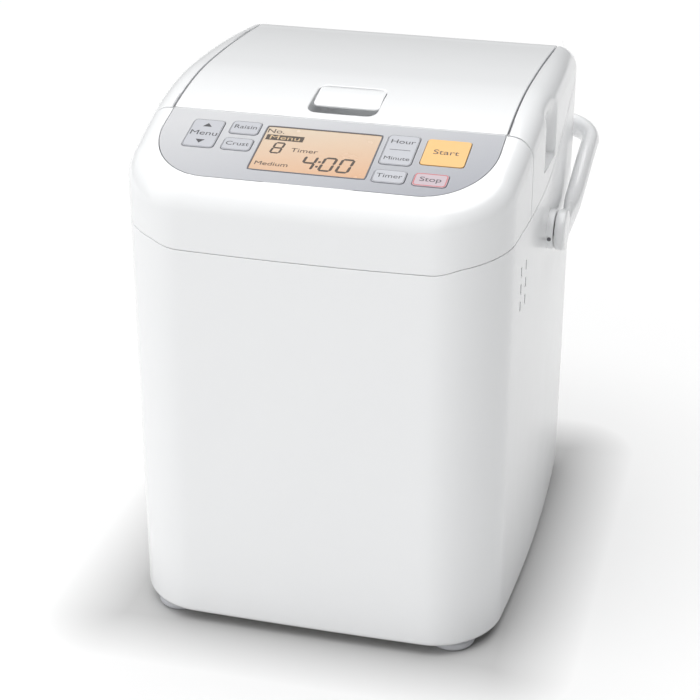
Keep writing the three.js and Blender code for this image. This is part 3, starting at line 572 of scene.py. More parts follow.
# ---------------------------------------------------------------- the body's outer form
def top_height(y):
    """Height of the body's top at depth y: the sloping panel, the crowned lid, the rear round."""
    crest = REAR_ROUND_Z + REAR_ROUND
    if y < LID_FRONT:
        return LID_FRONT_HEIGHT + (y - LID_FRONT) * math.tan(TILT)
    if y > REAR_ROUND_Y:
        return REAR_ROUND_Z + math.sqrt(REAR_ROUND ** 2 - min(y - REAR_ROUND_Y, REAR_ROUND) ** 2)
    end_y, end_z = (LID_FRONT, LID_FRONT_HEIGHT) if y < LID_TOP_Y else (REAR_ROUND_Y, crest)
    return LID_TOP - (LID_TOP - end_z) * ((y - LID_TOP_Y) / (end_y - LID_TOP_Y)) ** 2


HINGE_Z = top_height(HINGE_Y) - HINGE_RADIUS
NOSE_FLAT = HINGE_Z - 5             # underside of the lid's nose


def seam_height(y):
    """Height of the seam between the lower shell and the upper housings at depth y."""
    y = min(max(y, SEAM[0][0]), SEAM[-1][0])
    i = max(k for k in range(len(SEAM) - 1) if SEAM[k][0] <= y)

    def slope(k):
        (y0, z0), (y1, z1) = SEAM[max(k - 1, 0)], SEAM[min(k + 1, len(SEAM) - 1)]
        return (z1 - z0) / (y1 - y0)

    (y0, z0), (y1, z1) = SEAM[i], SEAM[i + 1]
    span = y1 - y0
    t = (y - y0) / span
    return ((2 * t ** 3 - 3 * t ** 2 + 1) * z0 + (t ** 3 - 2 * t ** 2 + t) * span * slope(i)
            + (3 * t ** 2 - 2 * t ** 3) * z1 + (t ** 3 - t ** 2) * span * slope(i + 1))


def front_stations(depths, corner_steps=20, face_steps=24):
    """Places round the right front of the body, from its middle to the last of the side's depths.
    Each is a point in plan and the direction that points outwards."""
    middle_x = HALF_WIDTH - FRONT_RADIUS
    middle_y = FRONT_RADIUS - HALF_DEPTH
    stations = [(x, -HALF_DEPTH, 0, -1) for x in steps(0, middle_x, face_steps)]
    for angle in steps(0, math.pi / 2, corner_steps)[1:]:
        out_x, out_y = math.sin(angle), -math.cos(angle)
        stations.append((middle_x + FRONT_RADIUS * out_x, middle_y + FRONT_RADIUS * out_y, out_x, out_y))
    return stations + [(HALF_WIDTH, y, 1, 0) for y in depths]


def rear_stations(depths, corner_steps=20, face_steps=16):
    """Places round the right rear of the body, from the first of the side's depths to its middle."""
    middle_x = HALF_WIDTH - REAR_RADIUS
    middle_y = HALF_DEPTH - REAR_RADIUS
    stations = [(HALF_WIDTH, y, 1, 0) for y in depths]
    for angle in steps(0, math.pi / 2, corner_steps):
        out_x, out_y = math.cos(angle), math.sin(angle)
        stations.append((middle_x + REAR_RADIUS * out_x, middle_y + REAR_RADIUS * out_y, out_x, out_y))
    return stations + [(x, HALF_DEPTH, 0, 1) for x in steps(middle_x, 0, face_steps)[1:]]


def mirrored(stations):
    return [(-x, y, -out_x, out_y) for x, y, out_x, out_y in reversed(stations)]


def moved_in(station, inset):
    """The plan point of a station, moved inwards, on the gently bowed faces."""
    x, y, out_x, out_y = station
    x -= out_x * inset
    y -= out_y * inset
    bowed_x = x * (1 - BOW_SIDE / HALF_WIDTH * (y / HALF_DEPTH) ** 2)
    bowed_y = y * (1 - BOW_FRONT / HALF_DEPTH * (x / HALF_WIDTH) ** 2) if y < 0 else y
    return bowed_x, bowed_y


def skin_point(station, inset):
    """The point of the outer skin at this inset: on the rounded top edge, or on the flat top within it."""
    x, y = moved_in(station, inset)
    fall = max(EDGE - inset, 0)
    return x, y, top_height(y) - (EDGE - math.sqrt(EDGE ** 2 - fall ** 2))


def inset_where(station, reached):
    """The smallest inset at which reached(x, y) is true, found by halving."""
    low, high = 0.0, 60.0
    for _ in range(40):
        middle = (low + high) / 2
        if reached(*moved_in(station, middle)):
            high = middle
        else:
            low = middle
    return high


def over_the_edge(station, last_inset):
    """Points from the top of the wall over the rounded edge and in to the last inset."""
    turn = math.acos(1 - min(last_inset, EDGE) / EDGE)
    insets = [EDGE * (1 - math.cos(a)) for a in steps(0, turn, 12)]
    insets += steps(min(last_inset, EDGE), last_inset, 4)[1:]
    return [skin_point(station, inset) for inset in insets]


def seam_inset(station, side):
    """How far in the seam lies: 0 on the upright wall, more where it climbs onto the rear round.
    side is -1 for the casing below the seam and 1 for the one above it."""
    def over_seam(inset):
        x, y, z = skin_point(station, inset)
        return z > seam_height(y) + side * GAP / 2

    low, high = 0.0, EDGE
    if over_seam(low):
        return 0
    for _ in range(30):
        middle = (low + high) / 2
        if over_seam(middle):
            high = middle
        else:
            low = middle
    return high


def in_columns(columns):
    """Turns a list of columns of points into rows."""
    return [list(row) for row in zip(*columns)]


# ---------------------------------------------------------------- casings
def lower_shell():
    vent_edges = sorted(y + d for y in VENT_DEPTHS for d in (-VENT_HALF_WIDTH, VENT_HALF_WIDTH))
    depths = vent_edges + steps(-58, HALF_DEPTH - REAR_RADIUS - 9, 15)
    half = front_stations(depths) + rear_stations([])
    stations = half + mirrored(half)[1:-1]
    vent_rows = sorted(z + d for z in VENT_HEIGHTS for d in (-VENT_HALF_HEIGHT, VENT_HALF_HEIGHT))
    wall = steps(SHELL_LOW.z + FOOT_EDGE, vent_rows[0] - 4, 16) + vent_rows

    def column(station):
        points = []
        for a in steps(0, math.pi / 2, 5)[:-1]:
            x, y = moved_in(station, FOOT_EDGE * (1 - math.sin(a)))
            points.append((x, y, SHELL_LOW.z + FOOT_EDGE * (1 - math.cos(a))))
        x, y, wall_top = skin_point(station, 0)
        points += [(x, y, z) for z in wall]
        inset = seam_inset(station, -1)
        if not inset:
            return points + [(x, y, z) for z in steps(wall[-1], seam_height(y) - GAP / 2, 12)[1:]]
        points += [(x, y, z) for z in steps(wall[-1], wall_top, 4)[1:]]
        return points + [skin_point(station, inset * share ** 2) for share in steps(0, 1, 8)[1:]]

    def is_vent(middle):
        x, y, z = middle / MM
        in_row = any(abs(z - height) < VENT_NEAR_Z for height in VENT_HEIGHTS)
        in_column = any(abs(y - BODY_Y - shade_and_fleck) < VENT_NEAR_Y for shade_and_fleck in VENT_DEPTHS)
        return x > 0 and in_row and in_column

    skin = Skin()
    skin.sheet(in_columns([column(s) for s in stations]), closed=True, is_open=is_vent)
    return skin.piece("lower_shell", "lower_body_shell", wall=WALL, soft=0.35)


def on_overlay(x, y, grow=GAP):
    """Whether a plan point lies on the silver panel's recess."""
    down = (LID_FRONT - y) / math.cos(TILT)
    corner_x = PANEL_HALF - PANEL_CORNER_ACROSS
    corner_down = PANEL_BOTTOM - PANEL_CORNER_DOWN
    if abs(x) > PANEL_HALF + grow or down > PANEL_BOTTOM + grow:
        return False
    if abs(x) < corner_x or down < corner_down:
        return True
    across = (abs(x) - corner_x) / (PANEL_CORNER_ACROSS + grow)
    along = (down - corner_down) / (PANEL_CORNER_DOWN + grow)
    return across ** 2 + along ** 2 < 1


def front_casing():
    """The front housing: its wall, the round over its top edge, and the rim that frames the panel."""
    half = front_stations(steps(-HALF_DEPTH + FRONT_RADIUS, SEAM_Y - SEAM_GAP / 2, 10)[1:], corner_steps=28)
    stations = mirrored(half) + half[1:]

    def column(station):
        x, y = moved_in(station, 0)
        wall = steps(seam_height(y) + GAP / 2, top_height(y) - EDGE, 8)[:-1]
        points = [(x, y, z) for z in wall]
        points += over_the_edge(station, inset_where(station, on_overlay))
        x, y, z = points[-1]
        return points + [(x, y, z - 1.2)]

    skin = Skin()
    skin.sheet(in_columns([column(s) for s in stations]))
    lip_front = LID_FRONT - PANEL_TOP + 0.1
    lip_back = LID_FRONT - 0.5
    across = steps(-PANEL_HALF - GAP, PANEL_HALF + GAP, 30)
    skin.sheet([
        [(x, lip_front, top_height(lip_front) - 1.2) for x in across],
        [(x, lip_front, top_height(lip_front)) for x in across],
        [(x, lip_back, top_height(lip_back)) for x in across],
        [(x, lip_back, 270) for x in across],
        [(x, lip_back, 253.5) for x in across],
    ])
    return skin.piece("front_casing", "control_housing", wall=1.8, soft=0.4)


SCOOP_Y = -9                # the finger scoop in each flank: a level shelf with a hollow above it
SCOOP_HALF_LENGTH = 17
SCOOP_DEPTH = 13
SCOOP_SHELF = 254
SCOOP_TOP = 292


def scoop_depth(y, z):
    """How far the finger scoop reaches in at a point of the flank."""
    across = (y - SCOOP_Y) / SCOOP_HALF_LENGTH
    up = (z - SCOOP_SHELF) / (SCOOP_TOP - SCOOP_SHELF)
    if abs(across) >= 1 or not 0 < up < 1:
        return 0
    edge = 0.05
    share = min(up / edge, 1) if up < 0.25 else 0.5 + 0.5 * math.cos(math.pi * (up - 0.25) / 0.75)
    return SCOOP_DEPTH * (1 - across ** 2) * share


def trough_back(z):
    """How far back the well's rear wall stands at height z: it is hollowed round the hinge."""
    reach = TROUGH ** 2 - (z - HINGE_Z) ** 2
    return max(WELL_BACK, HINGE_Y + math.sqrt(reach)) if reach > 0 else WELL_BACK


def rear_casing():
    """The rear housing: flanks with finger scoops, the rear round, and the well that the lid lies in."""
    lip_y = next(y for y in steps(105, 112, 140) if y > trough_back(top_height(y)))
    scooped = steps(SEAM_Y + SEAM_GAP / 2, 20, 64)
    plain = steps(20, HALF_DEPTH - REAR_RADIUS, 30)[1:-1]
    half = rear_stations(scooped + plain, corner_steps=28)
    stations = half + mirrored(half)[1:]

    def in_well(x, y):
        return abs(x) < WELL_HALF and y < lip_y

    def column(station):
        x, y = moved_in(station, 0)
        wall = steps(seam_height(y) + GAP / 2, top_height(y) - EDGE, 44)[:-1]
        if abs(y - SCOOP_Y) < SCOOP_HALF_LENGTH + 4:
            low = steps(wall[0], SCOOP_SHELF, 6)
            wall = low + [SCOOP_SHELF + 1.5] + steps(SCOOP_SHELF + 1.5, top_height(y) - EDGE, 37)[1:-1]
        points = [(x, y, z) for z in wall] + over_the_edge(station, inset_where(station, in_well))
        inset = seam_inset(station, 1)
        if inset:
            reach = inset_where(station, in_well) - inset
            count = len(points) - 1
            points = [skin_point(station, inset + reach * share ** 1.6) for share in steps(0, 1, count)]
        points = [(x - math.copysign(scoop_depth(y, z), x), y, z) for x, y, z in points]
        x, y, z = points[-1]
        return points + [(x, min(y, trough_back(z)), z) for z in steps(z, DECK_Z, 12)[1:]]

    skin = Skin()
    skin.sheet(in_columns([column(s) for s in stations]))
    return skin.piece("rear_casing", "rear_housing", wall=1.4, soft=0.4)


def deck():
    """The deck under the lid, with the mouth of the baking chamber."""
    count = 24
    mouth = rounded_loop(82.3, 72.3, 25, count, 0, CHAMBER_Y)
    middle_y = (SEAM_Y + 2.6 + WELL_BACK) / 2
    rim = rounded_loop(WELL_HALF - 0.1, (WELL_BACK - SEAM_Y - 2.6) / 2, 2, count, 0, middle_y)
    skin = Skin()
    top, bottom = DECK_Z, DECK_Z - 2.5
    loops = [(mouth, bottom), (mouth, top), (rim, top), (rim, bottom), (mouth, bottom)]
    skin.sheet([[(x, y, z) for x, y in loop] for loop, z in loops], closed=True)
    return skin.piece("lid_deck", "rear_housing", soft=0.4, also=None)


def lid_gap_shade():
    """Dark strips that paint the shade in the gap beside the lid."""
    ys = steps(LID_FRONT + 2, HINGE_Y - 2, 40)
    skin = Skin()
    for side in (-1, 1):
        near, far = side * (LID_HALF + 0.15), side * (WELL_HALF + 0.1)
        drops = [(far, 1.3), (near, 1.5), (near, 5), (far, 5)]
        skin.sheet([[(x, y, top_height(y) - drop) for y in ys] for x, drop in drops])
    # painted shade: a dark strip standing for the shadow in the narrow gap between the lid and its well
    return skin.piece("lid_gap_shade", "rear_housing", SHADOW_GREY, also=None)


# ---------------------------------------------------------------- lid
def lid_profile():
    """The lid seen from the side, from its front skirt over the top and round the hinge nose."""
    skirt = [(LID_FRONT, z) for z in steps(LID_LOW.z, LID_FRONT_HEIGHT, 6)[:-1]]
    top = steps(LID_FRONT, PATCH_FRONT, 2) + steps(PATCH_FRONT, PATCH_BACK, 16)[1:]
    top += steps(PATCH_BACK, REAR_ROUND_Y, 24)[1:] + [96, 98.4]
    nose = [
        (HINGE_Y + HINGE_RADIUS * math.sin(a), HINGE_Z + HINGE_RADIUS * math.cos(a))
        for a in steps(math.radians(4), math.radians(124), 16)
    ]
    under = [(y, NOSE_FLAT) for y in (103, 97, LID_REAR_WALL)]
    rear = [(LID_REAR_WALL, z) for z in steps(NOSE_FLAT, LID_LOW.z, 4)[1:]]
    return skirt + [(y, top_height(y)) for y in top] + nose + under + rear


def lid_shell():
    """The lid's outer shell with its finger recess let into the top."""
    side = steps(PATCH_HALF, LID_HALF, 14)[1:]
    xs = [-x for x in reversed(side)] + steps(-PATCH_HALF, PATCH_HALF, 24) + side
    profile = lid_profile()
    skin = Skin()

    def in_patch(middle):
        x, y, z = middle / MM
        return abs(x) < PATCH_HALF and PATCH_FRONT < y - BODY_Y < PATCH_BACK and z > LID_FRONT_HEIGHT - 1

    rows = skin.sheet([[(x, y, z) for x in xs] for y, z in profile], is_open=in_patch)
    lid_end(skin, -LID_HALF, profile)
    lid_end(skin, LID_HALF, profile)
    finger_recess(skin, rows, xs, profile)
    return skin.piece("lid_shell", "lid_cover", wall=1.9, soft=0.6)


def lid_end(skin, x, profile):
    """Closes one end of the lid between its top line and the lower edge at the same depth."""
    top = profile[:1]
    for y, z in profile:
        if y > top[-1][0] + 0.01:
            top.append((y, z))
    top = [(y, z) for y, z in top if z > NOSE_FLAT]

    def bottom(y):
        return LID_LOW.z if y <= LID_REAR_WALL else NOSE_FLAT

    for_share = [
        [(x, y, bottom(y) + (z - bottom(y)) * share) for y, z in top]
        for share in steps(0, 1, 6)
    ]
    skin.sheet(for_share)


def recess_point(x, y, shrink=0.0):
    """The point of the recess's rounded outline that faces a point on the edge of its square patch."""
    half_y = (GRIP_BACK - GRIP_FRONT) / 2 - shrink
    half_x = GRIP_HALF - shrink
    radius = GRIP_CORNER - shrink
    u = x / PATCH_HALF
    v = (2 * y - PATCH_FRONT - PATCH_BACK) / (PATCH_BACK - PATCH_FRONT)
    on_long_side = abs(v) > abs(u) or abs(abs(v) - 1) < 1e-4
    along, side, half, other_half = (u, v, half_x, half_y) if on_long_side else (v, u, half_y, half_x)
    straight = half - radius
    reach = abs(along) * (straight + radius * math.pi / 4)
    angle = max(reach - straight, 0) / radius
    a = math.copysign(min(reach, straight) + radius * math.sin(angle), along)
    b = math.copysign(other_half - radius + radius * math.cos(angle), side)
    middle_y = (GRIP_FRONT + GRIP_BACK) / 2
    return (a, middle_y + b) if on_long_side else (b, middle_y + a)


def finger_recess(skin, rows, xs, profile):
    """Rounds the opening left in the lid's top into the recess, with its walls and floor."""
    columns = [i for i, x in enumerate(xs) if abs(x) <= PATCH_HALF + 0.01]
    lines = [
        i for i, (y, z) in enumerate(profile)
        if PATCH_FRONT - 0.01 <= y <= PATCH_BACK + 0.01 and z > LID_FRONT_HEIGHT - 1
    ]
    first, last = lines[0], lines[-1]
    edge = [rows[first][c] for c in columns]
    edge += [rows[r][columns[-1]] for r in range(first + 1, last + 1)]
    edge += [rows[last][c] for c in reversed(columns[:-1])]
    edge += [rows[r][columns[0]] for r in range(last - 1, first, -1)]
    outer = [(vertex.co.x / MM, vertex.co.y / MM - BODY_Y) for vertex in edge]
    loops = [edge]
    for share in (0.3, 0.6, 0.85, 1.0):
        loop = []
        for x, y in outer:
            inner_x, inner_y = recess_point(x, y)
            y = y * (1 - share) + inner_y * share
            loop.append((x * (1 - share) + inner_x * share, y, top_height(y)))
        loops.append(skin.row(loop))
    for shrink, drop in ((0, 3), (0.2, 8), (0.5, 12)):
        points = [recess_point(x, y, shrink) for x, y in outer]
        loops.append(skin.row([(x, y, top_height(y) - drop) for x, y in points]))
    floor_edge = [recess_point(x, y, 1.5) for x, y in outer]
    loops.append(skin.row([(x, y, GRIP_FLOOR) for x, y in floor_edge]))
    skin.join(loops, closed=True)
    skin.cap(loops[-1])


def lid_flap():
    """The grip plate over the rear of the recess: thin, and dipping a little towards its front edge."""
    half = GRIP_HALF - 0.8
    front, back = GRIP_FRONT + GRIP_SLOT, GRIP_BACK - 0.8
    middle = (front + back) / 2

    def plate_height(y, drop):
        return top_height(y) - drop - FLAP_DIP * ((back - y) / (back - front)) ** 2

    skin = Skin()
    rows = []
    for inset, drop in ((2.2, 1.5), (0.2, 1.5), (0, 1.3), (0, 0.7), (0.2, 0.45), (0.6, 0.35)):
        loop = rounded_loop(half - inset, (back - front) / 2 - inset, 2.6 - inset * 0.5, 20, 0, middle)
        rows.append([(x, y, plate_height(y, drop)) for x, y in loop])
    for share in (0.75, 0.5, 0.25, 0.05):
        outline = rounded_loop(half - 0.6, (back - front) / 2 - 0.6, 2.3, 20)
        loop = [(x * share, middle + y * share) for x, y in outline]
        rows.append([(x, y, plate_height(y, 0.35)) for x, y in loop])
    made = skin.sheet(rows, closed=True)
    skin.cap(made[-1])
    skin.cap(made[0])
    return skin.piece("lid_flap", "lid_grip")


def inner_lid():
    """The lid's pressed metal inner pan with a stepped dome over the bread pan."""
    front, back = LID_FRONT + 2.5, LID_REAR_WALL - 3
    middle_y = (front + back) / 2
    half_y = (back - front) / 2 - 0.6
    count = 24
    levels = [                  # half width, half depth, corner radius, middle, height
        (89.6, half_y, 6, middle_y, 260.0),
        (89.6, half_y, 6, middle_y, 257.8),
        (80, half_y - 9, 14, middle_y, 257.8),
        (71, 59, 20, CHAMBER_Y, 257.8),
        (69.6, 57.6, 19, CHAMBER_Y, 259),
        (68.8, 56.8, 18, CHAMBER_Y, 265),
        (66.5, 54.5, 17, CHAMBER_Y, 266.5),
        (40, 34, 12, CHAMBER_Y, 266.7),
        (36, 30, 10, CHAMBER_Y, 265.4),
        (20, 16, 6, CHAMBER_Y, 265.2),
        (4, 3, 2, CHAMBER_Y, 265.2),
    ]
    skin = Skin()
    rows = [[(x, y, z) for x, y in rounded_loop(a, b, r, count, 0, c)] for a, b, r, c, z in levels]
    made = skin.sheet(rows, closed=True)
    skin.cap(made[-1])
    return skin.piece("inner_lid", "lid_liner", wall=0.8, soft=0.3)


# ---------------------------------------------------------------- panel
def on_panel(x, down, rise):
    """A point of the panel from its place across, down the slope and out of it."""
    return PANEL @ (Vector((x, -down, rise)) * MM)


def plate_mesh(name, outlines, low, high, edge):
    """A flat plate in the panel's plane from closed outlines; inner outlines are holes."""
    curve = bpy.data.curves.new(name, "CURVE")
    curve.dimensions = "2D"
    curve.fill_mode = "BOTH"
    curve.extrude = ((high - low) / 2 - edge) * MM
    curve.bevel_depth = edge * MM
    curve.bevel_resolution = 2
    curve.offset = -edge * MM
    for outline in outlines:
        spline = curve.splines.new("POLY")
        spline.points.add(len(outline) - 1)
        for point, (x, down) in zip(spline.points, outline):
            point.co = (x * MM, -down * MM, 0, 1)
        spline.use_cyclic_u = True
    return drawn_mesh(name, curve, PANEL @ Matrix.Translation((0, 0, (low + high) / 2 * MM)))


def drawn_mesh(name, curve, place):
    """The mesh of a curve or text, moved to its place."""
    holder = bpy.data.objects.new(name + ".draft", curve)
    bpy.context.collection.objects.link(holder)
    ready = holder.evaluated_get(bpy.context.evaluated_depsgraph_get())
    mesh = bpy.data.meshes.new_from_object(ready)
    bpy.data.objects.remove(holder)
    mesh.name = name
    mesh.transform(place)
    return mesh


def key_outline(key, grow=0.0):
    x0, x1, top, bottom, radius = key
    middle = ((x0 + x1) / 2, (top + bottom) / 2)
    return rounded_loop((x1 - x0) / 2 + grow, (bottom - top) / 2 + grow, radius + grow, 16, *middle)


def overlay_outline():
    corner_x = PANEL_HALF - PANEL_CORNER_ACROSS
    corner_down = PANEL_BOTTOM - PANEL_CORNER_DOWN
    right = [(PANEL_HALF, PANEL_TOP)] + [
        (corner_x + PANEL_CORNER_ACROSS * math.cos(a), corner_down + PANEL_CORNER_DOWN * math.sin(a))
        for a in steps(0, math.pi / 2, 32)
    ]
    return right + [(-x, down) for x, down in reversed(right)]


def flat_shaded(piece):
    """Flat faces with crisp edges, for drawn plates and lettering."""
    piece.data.polygons.foreach_set("use_smooth", [False] * len(piece.data.polygons))
    return piece


def panel_film():
    holes = [key_outline(key, 0.35) for key in KEYS.values()] + [key_outline(DISPLAY, 0.5)]
    mesh = plate_mesh("panel_film", [overlay_outline()] + holes, -0.9, -0.1, 0.1)
    return flat_shaded(placed("panel_film", mesh, "panel_overlay"))


def key_gap_shade():
    """A dark sheet behind the film that paints the shade of the gaps, seen as a thin line round each key."""
    gap_shade_outline = [(x * 0.985, 1 + down * 0.975) for x, down in overlay_outline()]
    # painted shade: this dark sheet shows through the gaps as the shadow round each key
    mesh = plate_mesh("key_gap_shade", [gap_shade_outline], -1.3, -1.0, 0.05)
    return flat_shaded(placed("key_gap_shade", mesh, "panel_overlay", SHADOW_GREY, also=None))


def key_cap(name, key):
    mesh = plate_mesh(name + "_cap", [key_outline(key)], -1.6, KEY_RISE, 0.2)
    return flat_shaded(placed(name + "_cap", mesh, name + "_key"))


def key_frame(name, key, finish, width):
    """A thin printed outline on a key's top."""
    outlines = [key_outline(key, -0.35), key_outline(key, -0.35 - width)]
    mesh = plate_mesh(name + "_outline", outlines, KEY_RISE - 0.02, KEY_RISE + 0.03, 0.005)
    return flat_shaded(placed(name + "_outline", mesh, name + "_key", finish, also=None))


def lettering(name, words, size, x, down, node, rise, finish=DARK_INK, stretch=1.0):
    """A word printed on the panel, centred on its place."""
    text = bpy.data.curves.new(name, "FONT")
    text.body = words
    text.size = size * MM
    text.align_x = "CENTER"
    text.align_y = "CENTER"
    text.extrude = 0.015 * MM
    place = Matrix.Translation(on_panel(x, down, rise)) @ Matrix.Rotation(TILT, 4, "X")
    place = place @ Matrix.Diagonal((stretch, 1, 1, 1))
    mesh = drawn_mesh(name, text, place)
    return flat_shaded(placed(name, mesh, node, finish, also=None))


def printed(name, shapes, node, rise, finish):
    """Flat printed shapes: closed outlines of (across, down) points."""
    mesh = plate_mesh(name, shapes, rise - 0.02, rise + 0.02, 0.002)
    return flat_shaded(placed(name, mesh, node, finish, also=None))


def arrow(x, down, up):
    """A triangle that points up or down the slope."""
    tip = -1.7 if up else 1.7
    return [(x - 2.6, down - tip), (x + 2.6, down - tip), (x, down + tip)]


SEGMENTS = {"0": "abcdef", "4": "bcfg", "8": "abcdefg"}


def digit(character, x, down, height):
    """The seven-segment bars of a digit whose lower left corner is at (x, down), leaning a little."""
    width = height * 0.52
    thick = height * 0.13
    middle = height / 2
    ends = {
        "a": ((0, height), (width, height)), "b": ((width, height), (width, middle)),
        "c": ((width, middle), (width, 0)), "d": ((0, 0), (width, 0)), "e": ((0, middle), (0, 0)),
        "f": ((0, height), (0, middle)), "g": ((0, middle), (width, middle)),
    }
    bars = []
    for segment in SEGMENTS[character]:
        (x0, z0), (x1, z1) = ends[segment]
        along = Vector((x1 - x0, z1 - z0)).normalized()
        side = Vector((-along.y, along.x)) * (thick / 2)
        start = Vector((x0, z0)) + along * thick * 0.55
        end = Vector((x1, z1)) - along * thick * 0.55
        tip = along * (thick / 2)
        shape = [start - tip, start - side, end - side, end + tip, end + side, start + side]
        bars.append([(x + p.x + p.y * 0.12, down - p.y) for p in shape])
    return bars


def square(x0, x1, top, bottom):
    return [(x0, top), (x1, top), (x1, bottom), (x0, bottom)]


def display():
    """The amber window with a dark ring that paints the shade of its recess, and what it shows: a course
    number and the time left.
    """
    rise = -0.3
    mesh = plate_mesh("display_pane", [key_outline(DISPLAY)], -1.4, rise, 0.1)
    flat_shaded(placed("display_pane", mesh, "display_window"))
    # painted shade: a dark ring round the pane stands for the shadow inside the window's recess
    ring = [key_outline(DISPLAY, 0.42), key_outline(DISPLAY, -0.35)]
    recess_shade_mesh = plate_mesh("display_recess_shade", ring, -0.5, 0.05, 0.05)
    flat_shaded(placed("display_recess_shade", recess_shade_mesh, "display_window", SHADOW_GREY, also=None))
    x0, _, top, bottom, _ = DISPLAY
    bars = digit("8", x0 + 7.6, top + 24.2, 9.4)
    for character, x in (("4", 27.0), ("0", 37.4), ("0", 46.8)):
        bars += digit(character, x0 + x, bottom - 4.6, 11.6)
    printed("display_digits", bars, "display_window", rise + 0.01, DISPLAY_INK)
    dot = 1.5
    dots = [
        square(x0 + x, x0 + x + dot, bottom - height, bottom - height + dot)
        for x, height in ((35.0, 8.4), (35.5, 12.8))
    ]
    printed("display_colon", dots, "display_window", rise + 0.01, DISPLAY_INK)
    box = [square(x0 + 1.6, x0 + 22.4, top + 7.6, top + 12.6)]
    printed("display_box", box, "display_window", rise + 0.01, DISPLAY_INK)
    words = (
        ("display_no", "No.", 5.4, x0 + 5.6, top + 4.4, DISPLAY_INK, 1.2),
        ("display_menu", "Menu", 5.2, x0 + 12.0, top + 10.1, PALE_INK, 1.5),
        ("display_timer", "Timer", 5.0, x0 + 25.6, top + 20.4, DISPLAY_INK, 1.2),
        ("display_medium", "Medium", 4.8, x0 + 11.4, bottom - 6.4, DISPLAY_INK, 1.2),
    )
    for name, text, size, x, down, finish, stretch in words:
        lettering(name, text, size, x, down, "display_window", rise + 0.05, finish, stretch)


def key_labels():
    """The words on the keys, the line across the hour and minute key and the arrows on the menu key."""
    rise = KEY_RISE + 0.03
    words = (                   # key, word, size, distance below the key's upper edge, stretch
        ("menu", "Menu", 6.0, 13.1, 1.18),
        ("raisin", "Raisin", 4.9, 5.6, 1.15),
        ("crust", "Crust", 4.9, 5.5, 1.15),
        ("hour_minute", "Hour", 5.2, 6.1, 1.2),
        ("timer", "Timer", 4.9, 5.5, 1.15),
        ("start", "Start", 6.0, 11.6, 1.2),
        ("stop", "Stop", 5.4, 5.5, 1.2),
    )
    for key, text, size, below, stretch in words:
        x0, x1, top, _, _ = KEYS[key]
        place = ((x0 + x1) / 2, top + below)
        lettering(key + "_label", text, size, *place, key + "_key", rise, DARK_INK, stretch)
    x0, x1, top, bottom, _ = KEYS["hour_minute"]
    middle = (top + bottom) / 2
    minute_place = ((x0 + x1) / 2, bottom - 5.6)
    lettering("minute_label", "Minute", 4.4, *minute_place, "hour_minute_key", rise, DARK_INK, 1.15)
    line = [square(x0 + 3, x1 - 3, middle - 0.25, middle + 0.25)]
    printed("hour_minute_line", line, "hour_minute_key", KEY_RISE + 0.01, SHADOW_GREY)
    x0, x1, top, bottom, _ = KEYS["menu"]
    middle_x = (x0 + x1) / 2
    arrows = [arrow(middle_x, top + 5.2, True), arrow(middle_x, bottom - 5.2, False)]
    printed("menu_arrows", arrows, "menu_key", KEY_RISE + 0.01, DARK_INK)


# ---------------------------------------------------------------- carrying handle and small outer pieces
def swell(y, start, end):
    """A smooth rise from 0 to 1 between two depths."""
    t = min(max((y - start) / (end - start), 0), 1)
    return t * t * (3 - 2 * t)


def handle_rise(y):
    """Height of the folded handle's middle line at depth y."""
    return HANDLE_BAR_Z - ARM_DROP + ARM_DROP * swell(y, 40, 128)


def handle():
    """The carrying handle: two flat arms from their hubs, round the corners into the grip."""
    corner_y = HANDLE_BACK - HANDLE_CORNER
    half = [(ARM_X - 2 * swell(y, 15, 60), y) for y in steps(0, corner_y, 40)]
    corner_x = half[-1][0] - HANDLE_CORNER
    half += [
        (corner_x + HANDLE_CORNER * math.cos(a), corner_y + HANDLE_CORNER * math.sin(a))
        for a in steps(0, math.pi / 2, 24)[1:]
    ]
    half += [(x, HANDLE_BACK) for x in steps(corner_x, 0, 24)[1:]]
    right = [Vector((x, y, handle_rise(y))) for x, y in half]
    path = right + [Vector((-p.x, p.y, p.z)) for p in reversed(right[:-1])]

    def section(i):
        return 6.2 + 4.3 * swell(path[i].y, 15, 60), 12.5 + 2 * swell(path[i].y, 100, 150)

    skin = Skin()
    swept(skin, path, section)
    for side in (-1, 1):
        centre = (side * ARM_X, 0, PIVOT_Z)
        rows = turned(skin, round_profile(HUB_RADIUS, -3.0, 3.1, 1.4, 0.2), centre, "X")
        skin.cap(rows[0])
        skin.cap(rows[-1])
    piece = skin.piece("handle", "carry_handle")
    remesh = piece.modifiers.new("one_moulding", "REMESH")
    remesh.mode = "VOXEL"
    remesh.voxel_size = 0.9 * MM
    remesh.use_smooth_shade = True
    smooth = piece.modifiers.new("blended", "SMOOTH")
    smooth.factor = 0.5
    smooth.iterations = 8
    return piece


def boss(side):
    """A round boss on the body's side, with a small screw sunk into its rim."""
    name = "right" if side > 0 else "left"
    low, high = node_box(f"handle_boss_{name}")
    near, far = (low.x, high.x) if side > 0 else (high.x, low.x)
    near -= side * BOSS_ROOT
    profile = round_profile(BOSS_RADIUS, 0, abs(far - near), 0.7, BOSS_BORE)
    skin = Skin()
    turned(skin, [(radius, side * height) for radius, height in profile], (near, 0, PIVOT_Z), "X", 64)
    skin.piece(f"boss_{name}", f"handle_boss_{name}")
    screw = Skin()
    centre = ((near + far) / 2 + side * 0.5, 0.05 - BOSS_RADIUS, PIVOT_Z - 2)
    head = [(0.2, -0.25), (1.15, -0.25), (1.15, 0.1), (0.8, 0.1), (0.7, -0.1), (0.2, -0.1)]
    rows = turned(screw, head, centre, "Y", 20)
    screw.cap(rows[0])
    screw.cap(rows[-1])
    screw.piece(f"boss_screw_{name}", f"handle_boss_{name}", SHADOW_GREY, also=None)


